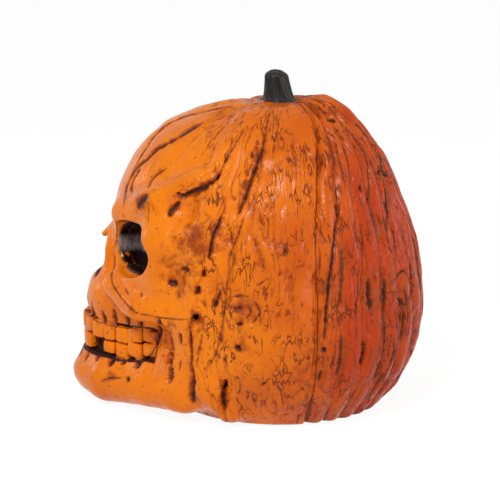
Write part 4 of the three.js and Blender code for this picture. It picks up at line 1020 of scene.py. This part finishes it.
def shellCutter():                # everything that is taken out of the solid head, as one closed form
    points, quads = meshField(hollowField, headMesh["low"], headMesh["high"], shellForm["hollowPitch"])
    hollow = newPiece("hollow", toFrame(points), quads.tolist())
    length, width, corner, top = shellForm["rebate"]
    px, py, radius, bossTop, pilot, pilotTop = shellForm["bosses"]
    below, above = -shellForm["overcut"], shellForm["floor"] + 1
    forms = [prism("rebate", plateOutline(length, width, corner), below, top)]
    for name in ("boxWay", "switchWay"):
        wayLength, wayWidth, middle = shellForm[name]
        outline = plateOutline(wayLength, wayWidth, shellForm["wayCorner"], middle)
        forms.append(prism(name, outline, below, above))
    outline = ringOutline(0, 0, shellForm["spigotHole"])
    forms.append(prism("spigotHole", outline, *shellForm["spigotHeights"]))
    for sx, sy in ((1, 1), (1, -1), (-1, 1), (-1, -1)):
        forms.append(prism("pilot", ringOutline(sx * px, sy * py, pilot, 16), below, pilotTop))
    for form in forms:
        cutPiece(hollow, form, "UNION")
        bpy.data.objects.remove(form)
    return hollow


def setAttributes(mesh, values):
    for name, data in values.items():
        data = np.asarray(data, np.float32)
        kind, field = ("FLOAT_VECTOR", "vector") if data.ndim == 2 else ("FLOAT", "value")
        mesh.attributes.new(name, kind, "POINT").data.foreach_set(field, data.ravel())


headSkin = newPiece("headSkin", toFrame(moved), skinQuads.tolist())
grain = np.column_stack([across, along, skinPoints[:, 0] * 0.15]) / 1000.0
setAttributes(headSkin.data, {"wash": wash, "stain": stain, "rindShare": rindShare, "lacquer": lacquer,
                              "grain": grain, "outside": np.ones(len(moved))})
cutter = shellCutter()
cutPiece(headSkin, cutter, "DIFFERENCE")
backSkin = headSkin.copy()
backSkin.data = headSkin.data.copy()
scene.collection.objects.link(backSkin)
gap, crown = headForms["seamGap"], headForms["crownRadius"]
for piece, operation, grow, ring in ((headSkin, "DIFFERENCE", gap / 2, crown),
                                     (backSkin, "INTERSECT", -gap / 2, crown + gap)):
    wedge = backWedge(grow, ring)
    cutPiece(piece, wedge, operation)
    bpy.data.objects.remove(wedge)
bpy.data.objects.remove(cutter)
headSkin.name, backSkin.name = "faceSkin", "rindSkin"
print("shells parted", len(headSkin.data.polygons), len(backSkin.data.polygons))


# Materials

# Sprayed acrylic paint on moulded polystyrene: orange from yellow in front to a darker red behind, partly
# the paint's tone and partly painted shade, a dark wash wiped off the high places so that it stays in every
# cut and scratch, and a satin sealer that gives soft pale highlights
paint = {
    "bright": "EE7F03",
    # red orange for the back, darker too as painted shade there
    "redAndShadedBack": "B43803",
    "stain": "9C3E08",
    "line": "7A300E",
    "wash": "341B17",
    "lacquer": "1C0A09",
    # pale grey of the painted reflection band across the eyes' lacquer
    "band": "9C8E8E",
    "paintedReflectionHeight": (90.5, 98.0),   # millimetres above the base
    "paintedReflectionFade": 2.2,
    "mottleSpacing": 30.0,        # millimetres
    "redAndShadedRange": (-0.014, 0.074),  # metres from front to back
    "loopSpacing": 3.2,           # looped scratches, across the grain
    "loopStretch": 0.34,
    "loopLevel": 0.56,
    "streakSpacing": 2.6,         # long thin scratches that follow the grain
    "streakStretch": 0.07,
    "zoneSpacing": 13.0,          # patches of loops, with streaks between them
    "speckSpacing": 2.4,
    "raggedSpacing": 5.0,
    "fineSpacing": 1.6,
    "roughness": 0.24,
    "lacquerRoughness": 0.16,
}


# Dark lacquer of the eyes, with a painted reflection: a streaky pale grey band across the middle
def paintedReflectionBand(tree, place, dark):
    (low, high), fade = paint["paintedReflectionHeight"], paint["paintedReflectionFade"]
    height = addNode(tree, "SeparateXYZ", links={0: place}).outputs["Z"]
    over = remap(tree, height, (low - fade) / 1000.0, (low + fade) / 1000.0, kind="SMOOTHSTEP")
    under = remap(tree, height, (high + fade) / 1000.0, (high - fade) / 1000.0, kind="SMOOTHSTEP")
    reflectionStreaks = noiseAt(tree, stretch(tree, place, (1.0, 1.0, 0.12)), 1.1, Detail=2.0)
    streaky = remap(tree, reflectionStreaks, 0.3, 0.65, 0.3, 1.0)
    # share of the painted reflection: pale streaks between the band's soft edges
    reflectionShare = combine(tree, "MULTIPLY", combine(tree, "MULTIPLY", over, under), streaky)
    return blend(tree, reflectionShare, dark, paint["band"])


def makePaint():
    material, tree = newMaterial("washedAcrylicPaint")
    place = objectPlace(tree)
    grainPlaces = attribute(tree, "grain", "Vector")
    washShare, stainShare = attribute(tree, "wash"), attribute(tree, "stain")
    onRind, lacquerShare = attribute(tree, "rindShare"), attribute(tree, "lacquer")

    # Colour drifts from yellow orange on the face to a darker red orange behind: partly the paint's own
    # tone, partly painted shade on the back
    mottle = noiseAt(tree, place, paint["mottleSpacing"], Detail=4.0)
    fromFront = addNode(tree, "SeparateXYZ", links={0: place}).outputs["Y"]
    behind = remap(tree, fromFront, *paint["redAndShadedRange"])
    patchy = remap(tree, mottle, 0.35, 0.68, -0.14, 0.26)
    redAndShadedShare = combine(tree, "ADD", behind, patchy, clamp=True)
    orange = blend(tree, redAndShadedShare, paint["bright"], paint["redAndShadedBack"])

    # Looped scratches in patches, as level lines of a noise drawn out along the grain
    loopPlace = stretch(tree, grainPlaces, (1.0, paint["loopStretch"], 1.0))
    loopNoise = noiseAt(tree, loopPlace, paint["loopSpacing"], Detail=2.0, Roughness=0.5,
                        Distortion=0.35)
    nearLevel = combine(tree, "ABSOLUTE", combine(tree, "SUBTRACT", loopNoise, paint["loopLevel"]))
    loop = remap(tree, nearLevel, 0.01, 0.045, 0.9, 0.0, "SMOOTHSTEP")
    zone = noiseAt(tree, place, paint["zoneSpacing"], Detail=2.0)
    rindGate = remap(tree, onRind, 0.7, 1.0, 0.1, 1.0)
    loopGate = combine(tree, "MULTIPLY", remap(tree, zone, 0.46, 0.57), rindGate)
    loops = combine(tree, "MULTIPLY", loop, loopGate)

    # Long thin scratches that follow the grain
    streakPlace = stretch(tree, grainPlaces, (1.0, paint["streakStretch"], 1.0))
    streakNoise = noiseAt(tree, streakPlace, paint["streakSpacing"], Detail=2.0, Roughness=0.6,
                          Distortion=0.2)
    streak = remap(tree, streakNoise, 0.62, 0.72, 0.0, 0.8, "SMOOTHSTEP")
    streakGate = combine(tree, "MULTIPLY", remap(tree, zone, 0.58, 0.44), rindGate)
    lines = combine(tree, "MAXIMUM", loops, combine(tree, "MULTIPLY", streak, streakGate))

    # Specks where the wash dried in pinholes
    speck = noiseAt(tree, place, paint["speckSpacing"], Detail=1.0)
    marks = combine(tree, "MAXIMUM", lines, remap(tree, speck, 0.68, 0.76, 0.0, 0.7))

    # Stain and wash both break up at their edges
    breakUp = noiseAt(tree, place, paint["raggedSpacing"], Detail=5.0, Roughness=0.65)
    ragged = remap(tree, breakUp, 0.3, 0.7, -0.4, 0.4)
    stained = remap(tree, combine(tree, "ADD", stainShare, ragged), 0.15, 0.85, kind="SMOOTHSTEP")
    thin = combine(tree, "MULTIPLY_ADD", ragged, 0.35, washShare)
    pooled = remap(tree, thin, 0.2, 0.95, kind="SMOOTHSTEP")
    brown = blend(tree, combine(tree, "MAXIMUM", stained, washShare), orange, paint["stain"])
    scratched = blend(tree, marks, brown, paint["line"])
    washed = blend(tree, pooled, scratched, paint["wash"])
    # the eyes get their dark lacquer, with the painted reflection band across it
    colour = blend(tree, lacquerShare, washed, paintedReflectionBand(tree, place, paint["lacquer"]))

    fine = noiseAt(tree, loopPlace, paint["fineSpacing"], Detail=3.0)
    height = combine(tree, "MULTIPLY_ADD", fine, 0.5, combine(tree, "MULTIPLY", lines, -1.0))
    calm = combine(tree, "SUBTRACT", 1.0, lacquerShare)
    bump = addNode(tree, "Bump", {"Distance": 0.0005}, {"Height": height, "Strength": calm}).outputs[0]
    dull = combine(tree, "MULTIPLY_ADD", pooled, 0.18, paint["roughness"])
    uneven = combine(tree, "MULTIPLY_ADD", ragged, 0.2, dull)
    gloss = addNode(tree, "Mix", {"data_type": "FLOAT", 3: paint["lacquerRoughness"]},
                    {0: lacquerShare, 2: uneven}).outputs[0]
    finishMaterial(tree, {"IOR": 1.45, "Specular IOR Level": 0.2}, colour, gloss, bump)
    return material


# Moulded polystyrene, unpainted inside the shells: even dark brown with a faint tool grain
def makeBareMoulding():
    material, tree = newMaterial("bareMoulding")
    place = objectPlace(tree)
    shade = blend(tree, noiseAt(tree, place, 2.5, Detail=2.0), "22130E", "2E1B14")
    finishMaterial(tree, {"Roughness": 0.55, "IOR": 1.59}, shade)
    return material


acrylicPaint = makePaint()
bareMoulding = makeBareMoulding()


def meshNumbers(items, name, kind, count):
    numbers = np.zeros(count, kind)
    items.foreach_get(name, numbers)
    return numbers


def dressShell(piece, node):
    mesh = piece.data
    mesh.materials.clear()
    mesh.materials.append(acrylicPaint)
    mesh.materials.append(bareMoulding)
    outside = meshNumbers(mesh.attributes["outside"].data, "value", np.float32, len(mesh.vertices))
    corners = meshNumbers(mesh.loops, "vertex_index", np.int32, len(mesh.loops))
    starts = meshNumbers(mesh.polygons, "loop_start", np.int32, len(mesh.polygons))
    painted = np.maximum.reduceat(outside[corners], starts) > 0.5
    mesh.polygons.foreach_set("material_index", np.where(painted, 0, 1).astype(np.int32))
    mesh.polygons.foreach_set("use_smooth", painted)
    mesh.update()
    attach(piece, "head")
    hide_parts(node)


dressShell(headSkin, "face_shell")
dressShell(backSkin, "pumpkin_shell")
print("shells painted")


# Stem: a fluted, domed stub that leans towards the face, with its spigot and screw pilot below

stemForm = {
    "foot": 172.07,
    "top": 190.9,
    "radii": (10.2, 6.9),         # at the foot and under the dome
    "lean": 2.0,
    "domeStart": 0.72,            # share of the height
    "flutes": 7,
    "fluteDepth": 1.15,
    "twist": 0.35,                # radians over the height
    "spigot": (4.5, 161.07),
    "pilot": (1.6, 176.77),
    "sides": 126,
    "levels": 56,
}


def stemRing(t):
    base, upper = stemForm["radii"]
    turns = np.arange(stemForm["sides"]) * 2 * math.pi / stemForm["sides"]
    twisted = turns + stemForm["twist"] * t + 0.12 * np.sin(2 * turns + 1.0)
    radius = base - (base - upper) * min(t / stemForm["domeStart"], 1) ** 0.55
    dome = max(0.0, (t - stemForm["domeStart"]) / (1 - stemForm["domeStart"]))
    radius = radius * math.sqrt(max(1 - dome ** 2.6, 0.0))
    rib = np.abs(np.cos(stemForm["flutes"] * twisted / 2)) ** 0.7
    place = np.column_stack([np.cos(turns), np.sin(turns), np.full(len(turns), t)])
    coarse, fine = smoothNoise(place * (5.0, 5.0, 1.6), 61), smoothNoise(place * (13.0, 13.0, 3.0), 62)
    rough = coarse * 0.35 + fine * 0.22
    depth = (stemForm["fluteDepth"] * (1 - rib) - rough) * min(1, 6 * t) * (1 - 0.75 * dome)
    r = np.maximum(radius - np.maximum(depth, -0.1), 0.02)
    z = stemForm["foot"] + t * (stemForm["top"] - stemForm["foot"]) - 0.6 * dome * rib
    return np.column_stack([r * np.cos(turns), r * np.sin(turns) - stemForm["lean"] * t, z]), 1 - rib


def makeStem():
    sides = stemForm["sides"]
    turns = np.arange(sides) * 2 * math.pi / sides
    circle = np.column_stack([np.cos(turns), np.sin(turns)])
    spigotRadius, spigotFoot = stemForm["spigot"]
    pilotRadius, pilotTop = stemForm["pilot"]
    rings, hollows = [], []
    for radius, height in ((pilotRadius, pilotTop), (pilotRadius, spigotFoot), (spigotRadius, spigotFoot),
                           (spigotRadius, stemForm["foot"])):
        rings.append(np.column_stack([circle * radius, np.full(sides, height)]))
        hollows.append(np.zeros(sides))
    for t in np.linspace(0, 1, stemForm["levels"]) ** 0.9:
        ring, hollow = stemRing(t)
        rings.append(ring)
        hollows.append(hollow)
    tip = (0, -stemForm["lean"], rings[-1][:, 2].mean())
    points = np.vstack(rings + [[(0, 0, pilotTop)], [tip]])
    faces = []
    for a in range(0, (len(rings) - 1) * sides, sides):
        for i in range(sides):
            j = (i + 1) % sides
            faces.append((a + i, a + j, a + sides + j, a + sides + i))
    last, under, over = (len(rings) - 1) * sides, len(points) - 2, len(points) - 1
    faces += [((i + 1) % sides, i, under) for i in range(sides)]
    faces += [(last + i, last + (i + 1) % sides, over) for i in range(sides)]
    piece = newPiece("flutedStem", toFrame(points), faces)
    setAttributes(piece.data, {"wash": np.concatenate(hollows + [[0, 0]])})
    piece.data.polygons.foreach_set("use_smooth", np.ones(len(faces), bool))
    return piece


# Sprayed satin enamel, nearly black, with grey green along the ribs that is partly dry-brushing and partly a
# painted glint: dull flutes, paler edges
def makeStemPaint():
    material, tree = newMaterial("dryBrushedEnamel")
    place = objectPlace(tree)
    fibre = noiseAt(tree, stretch(tree, place, (1.0, 1.0, 0.14)), 1.5, Detail=4.0, Roughness=0.6)
    patch = noiseAt(tree, place, 6.0, Detail=2.0)
    ground = blend(tree, patch, "0D0B0A", "1E1510")
    # grey green on the rib crests: partly dry-brushing, partly a painted glint
    high = remap(tree, attribute(tree, "wash"), 0.55, 0.1)
    crestPaintAndGlint = combine(tree, "MULTIPLY", high, remap(tree, fibre, 0.5, 0.74, 0.0, 0.45))
    colour = blend(tree, crestPaintAndGlint, ground, "3F453A")
    bump = bumped(tree, fibre, 0.7, 0.0005)
    gloss = remap(tree, patch, 0.0, 1.0, 0.3, 0.55)
    finishMaterial(tree, {"IOR": 1.5, "Specular IOR Level": 0.22}, colour, gloss, bump)
    return material


stemPiece = makeStem()
stemPiece.data.materials.append(makeStemPaint())
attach(stemPiece, "head")
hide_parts("stem")
print("stem made", len(stemPiece.data.polygons))


# Eye bowls: lacquered cups behind the eye openings, each with a sleeve for its lamp

cupForm = {
    "half": (18.1, 13.6),         # inside
    "wall": 1.6,
    "recess": 9.0,
    "depth": 17.0,
    "reach": 16.0,                # straight side, trimmed by the shell
    "sleeve": (4.5, 2.9, 32.6),   # outer and bore radii, and how far back it ends
    "sleeveStart": (25.7, 27.2),  # how far back the bore and the sleeve's outside meet the bowl
    "clear": 0.3,                 # from the shell
    "rows": 30,
    "sides": 96,
}


def bowlRows(grow):               # semi-axes across and up, then the place along the axis
    across, up = (half + grow for half in cupForm["half"])
    return [(across * math.sin(angle), up * math.sin(angle),
             -cupForm["recess"] - (cupForm["depth"] + grow) * math.cos(angle))
            for angle in np.linspace(0.0, math.pi / 2, cupForm["rows"])]


def cupMesh(side):
    sides, reach = cupForm["sides"], cupForm["reach"]
    turns = np.arange(sides) * 2 * math.pi / sides
    outerR, boreR, rear = cupForm["sleeve"]
    boreStart, sleeveStart = cupForm["sleeveStart"]
    inner, outer = bowlRows(0), bowlRows(cupForm["wall"])
    rows = [(boreR, boreR, -rear), (boreR, boreR, -boreStart)]
    rows += [row for row in inner if row[1] > boreR + 0.3]
    rows += [(*inner[-1][:2], reach), (*outer[-1][:2], reach)]
    rows += [row for row in outer[::-1] if row[1] > outerR + 0.3]
    rows += [(outerR, outerR, -sleeveStart), (outerR, outerR, -rear)]
    yaw = math.radians(eyeForm["yaw"]) * side
    points = []
    for across, up, out in rows:
        a, u = across * np.cos(turns), up * np.sin(turns)
        points.append(np.column_stack([eyeForm["at"][0] * side + a * math.cos(yaw) + out * math.sin(yaw),
                                       eyeForm["at"][1] + a * math.sin(yaw) - out * math.cos(yaw),
                                       eyeForm["at"][2] + u]))
    faces = []
    for row in range(len(rows)):
        a, b = row * sides, (row + 1) % len(rows) * sides
        faces += [(a + i, b + i, b + (i + 1) % sides, a + (i + 1) % sides) for i in range(sides)]
    return np.vstack(points), faces


# Brushed spray lacquer over dark red moulding: nearly black, a red glow where it is thin, wet highlights,
# and the painted reflection band across the middle
def makeLacquer():
    material, tree = newMaterial("darkSprayLacquer")
    place = objectPlace(tree)
    streak = noiseAt(tree, stretch(tree, place, (1.0, 1.0, 0.16)), 1.8, Detail=3.0)
    height = addNode(tree, "SeparateXYZ", links={0: place}).outputs["Z"]
    glow = remap(tree, height, 0.095, 0.108)
    colour = blend(tree, glow, paintedReflectionBand(tree, place, "120605"), "3A0A08")
    bump = bumped(tree, streak, 0.35, 0.0004)
    gloss = remap(tree, streak, 0.0, 1.0, 0.1, 0.3)
    finishMaterial(tree, {"IOR": 1.52, "Coat Weight": 0.6, "Coat Roughness": 0.12}, colour, gloss, bump)
    return material


def makeCups():
    points, quads = meshField(lambda x, y, z: hollowField(x, y, z) + cupForm["clear"], headMesh["low"],
                              headMesh["high"], shellForm["hollowPitch"])
    room = newPiece("room", toFrame(points), quads.tolist())
    lacquerPaint = makeLacquer()
    for label, side in (("left", 1), ("right", -1)):
        points, faces = cupMesh(side)
        cup = newPiece("eyeBowl_" + label, toFrame(points), faces)
        cutPiece(cup, room, "INTERSECT")
        cup.data.materials.clear()
        cup.data.materials.append(lacquerPaint)
        cup.data.polygons.foreach_set("use_smooth", np.ones(len(cup.data.polygons), bool))
        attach(cup, "head")
        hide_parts("eye_cup_" + label)
    bpy.data.objects.remove(room)


makeCups()
print("eye bowls made")


# Base and inner pieces keep their solids and get their real materials

# Moulded plastics: an even colour, a fine spark-eroded grain, and slight unevenness in the sheen
plastic = {"drawn": (1.0, 1.0, 1.0), "cloud": 9.0, "bump": (0.35, 0.0002), "shader": {"IOR": 1.53}}

# Plated steel: metal with a faint drawn grain and cloudy patches in the plating
plated = {"drawn": (0.2, 1.0, 1.0), "cloud": 4.0, "bump": (0.2, 0.0001), "shader": {"Metallic": 1.0}}

# Each one's stuff, its two colours, grain in millimetres, roughness and nodes
coverings = {
    "blackAbs": (plastic, ("111112", "1B1B1D"), 0.7, (0.42, 0.58), ("battery_case", "battery_door")),
    "greyAbs": (plastic, ("47484B", "56585B"), 0.6, (0.38, 0.5), ("switch_housing", "switch_slider")),
    "pvcSheath": (plastic, ("161616", "232323"), 1.2, (0.4, 0.5),
                  ("led_lead_left", "led_lead_right", "switch_lead")),
    "nickelPlate": (plated, ("C9C6BE", "A8A49A"), 0.5, (0.2, 0.36),
                    ("contact_spring_1", "contact_spring_2", "negative_plate", "positive_plate",
                     "bridge_plate")),
    "zincPlate": (plated, ("BFC3C7", "9AA0A6"), 0.8, (0.28, 0.46),
                  ("stem_washer", "stem_screw", "case_screw_1", "case_screw_2", "case_screw_3",
                   "case_screw_4")),
}


def makeCovering(name, stuff, colours, grainSpacing, rough):
    material, tree = newMaterial(name)
    place = objectPlace(tree)
    grain = noiseAt(tree, stretch(tree, place, stuff["drawn"]), grainSpacing, Detail=2.0)
    cloud = noiseAt(tree, place, stuff["cloud"], Detail=3.0)
    colour = blend(tree, cloud, *colours)
    sheen = remap(tree, cloud, 0.3, 0.7, *rough)
    finishMaterial(tree, stuff["shader"], colour, sheen, bumped(tree, grain, *stuff["bump"]))
    return material


# Shrunk printed sleeve on each cell: plain blue, a copper-coloured shoulder and bare steel at the ends
def makeCellSleeve():
    material, tree = newMaterial("shrunkCellSleeve")
    place = objectPlace(tree)
    fromMiddle = combine(tree, "ABSOLUTE", addNode(tree, "SeparateXYZ", links={0: place}).outputs["X"])
    bare = remap(tree, fromMiddle, 0.0243, 0.0244)
    shoulder = remap(tree, fromMiddle, 0.0178, 0.018)
    wear = noiseAt(tree, place, 3.0, Detail=4.0)
    banded = blend(tree, shoulder, blend(tree, wear, "1D3A52", "27506F"), "A86B3C")
    colour = blend(tree, bare, banded, "B9B9B6")
    metal = remap(tree, fromMiddle, 0.0178, 0.018, 0.0, 0.9)
    sheen = remap(tree, wear, 0.0, 1.0, 0.24, 0.4)
    finishMaterial(tree, {"IOR": 1.5}, colour, sheen, bumped(tree, wear, 0.15, 0.0002), metal)
    return material


# Cast epoxy lamp: clear and faintly yellow, with slight cloudiness from the casting
def makeLampResin():
    material, tree = newMaterial("castEpoxy")
    place = objectPlace(tree)
    cloud = noiseAt(tree, place, 1.5, Detail=2.0)
    colour = blend(tree, cloud, "F3E7C4", "E6CF94")
    sheen = remap(tree, cloud, 0.0, 1.0, 0.04, 0.14)
    finishMaterial(tree, {"IOR": 1.54, "Transmission Weight": 0.55}, colour, sheen)
    return material


# Solder mask on glass laminate: translucent green over the weave, with paler copper tracks under it
def makeBoard():
    material, tree = newMaterial("solderMask")
    place = objectPlace(tree)
    tracks = addNode(tree, "TexVoronoi", {"feature": "DISTANCE_TO_EDGE", "Scale": perMetre(4.0),
                                          "Randomness": 0.6}, {"Vector": place})
    track = remap(tree, tracks.outputs["Distance"], 0.06, 0.1, 1.0, 0.0)
    weave = noiseAt(tree, place, 0.8, Detail=1.0)
    colour = blend(tree, track, blend(tree, weave, "0E4A27", "14592F"), "2F7A3E")
    sheen = remap(tree, weave, 0.0, 1.0, 0.25, 0.4)
    finishMaterial(tree, {"IOR": 1.5}, colour, sheen, bumped(tree, track, 0.3, 0.00008))
    return material


def dressNodes(names, material):
    for name in names:
        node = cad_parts[name]
        node.data.materials.clear()
        node.data.materials.append(material)


for name, (*form, nodes) in coverings.items():
    dressNodes(nodes, makeCovering(name, *form))
dressNodes(("battery_1", "battery_2"), makeCellSleeve())
dressNodes(("led_left", "led_right"), makeLampResin())
dressNodes(("circuit_board",), makeBoard())
print("inner pieces dressed")


# Stage: white sweep, soft boxes above the camera, in front, behind and at the side, even white surroundings

stage = {
    "floor": "F4F4F4",
    "floorHalf": 6.0,             # metres
    "floorClear": 0.0003,
    "floorGlow": 0.92,
    "floorShade": 0.14,
    "surround": 0.42,
}

# Place and size in metres, and power in watts
softBoxes = {
    "softBox": {"at": (0.99, -0.2, 1.0), "size": 0.3, "power": 9.0},
    "frontBox": {"at": (-0.25, -1.15, 0.5), "size": 0.35, "power": 1.5},
    "backBox": {"at": (0.15, 1.2, 0.45), "size": 0.5, "power": 3.4},
    "sideBox": {"at": (1.0, 0.85, 0.14), "size": 0.4, "power": 1.8},
}


def seenRays(tree):
    ray = addNode(tree, "LightPath")
    some = combine(tree, "MAXIMUM", ray.outputs["Is Camera Ray"], ray.outputs["Is Glossy Ray"])
    return combine(tree, "MAXIMUM", some, ray.outputs["Is Transmission Ray"])


def makeStage():
    world = bpy.data.worlds.new("whiteStudio")
    scene.world = world
    world.use_nodes = True
    tree = world.node_tree
    tree.nodes.clear()
    strength = remap(tree, seenRays(tree), 0.0, 1.0, stage["surround"], 1.0)
    light = addNode(tree, "Background", {"Color": (1, 1, 1, 1)}, {"Strength": strength})
    addNode(tree, "OutputWorld", links={"Surface": light.outputs[0]})

    material, tree = newMaterial("whiteSweep")
    shade = stage["floorShade"]
    matt = addNode(tree, "BsdfDiffuse", {"Color": hexToLinear(stage["floor"])})
    glow = addNode(tree, "Emission", {"Color": (1, 1, 1, 1), "Strength": stage["floorGlow"]})
    pale = addNode(tree, "BsdfDiffuse", {"Color": (shade, shade, shade, 1)})
    seen = addNode(tree, "AddShader", links={0: glow.outputs[0], 1: pale.outputs[0]})
    mix = addNode(tree, "MixShader", links={0: seenRays(tree), 1: matt.outputs[0], 2: seen.outputs[0]})
    addNode(tree, "OutputMaterial", links={"Surface": mix.outputs[0]})
    half, floor = stage["floorHalf"], cadBox[0][2] - stage["floorClear"]
    corners = [(-half, -half, floor), (half, -half, floor), (half, half, floor), (-half, half, floor)]
    sweep = newPiece("floorSweep", corners, [(0, 1, 2, 3)])
    sweep.data.materials.append(material)

    for name, box in softBoxes.items():
        lamp = bpy.data.lights.new(name, "AREA")
        lamp.shape = "DISK"
        lamp.size = box["size"]
        lamp.energy = box["power"]
        holder = bpy.data.objects.new(name, lamp)
        scene.collection.objects.link(holder)
        holder.location = box["at"]
        aim = Vector((0, 0, 0.09)) - Vector(box["at"])
        holder.rotation_euler = aim.to_track_quat("-Z", "Y").to_euler()


makeStage()
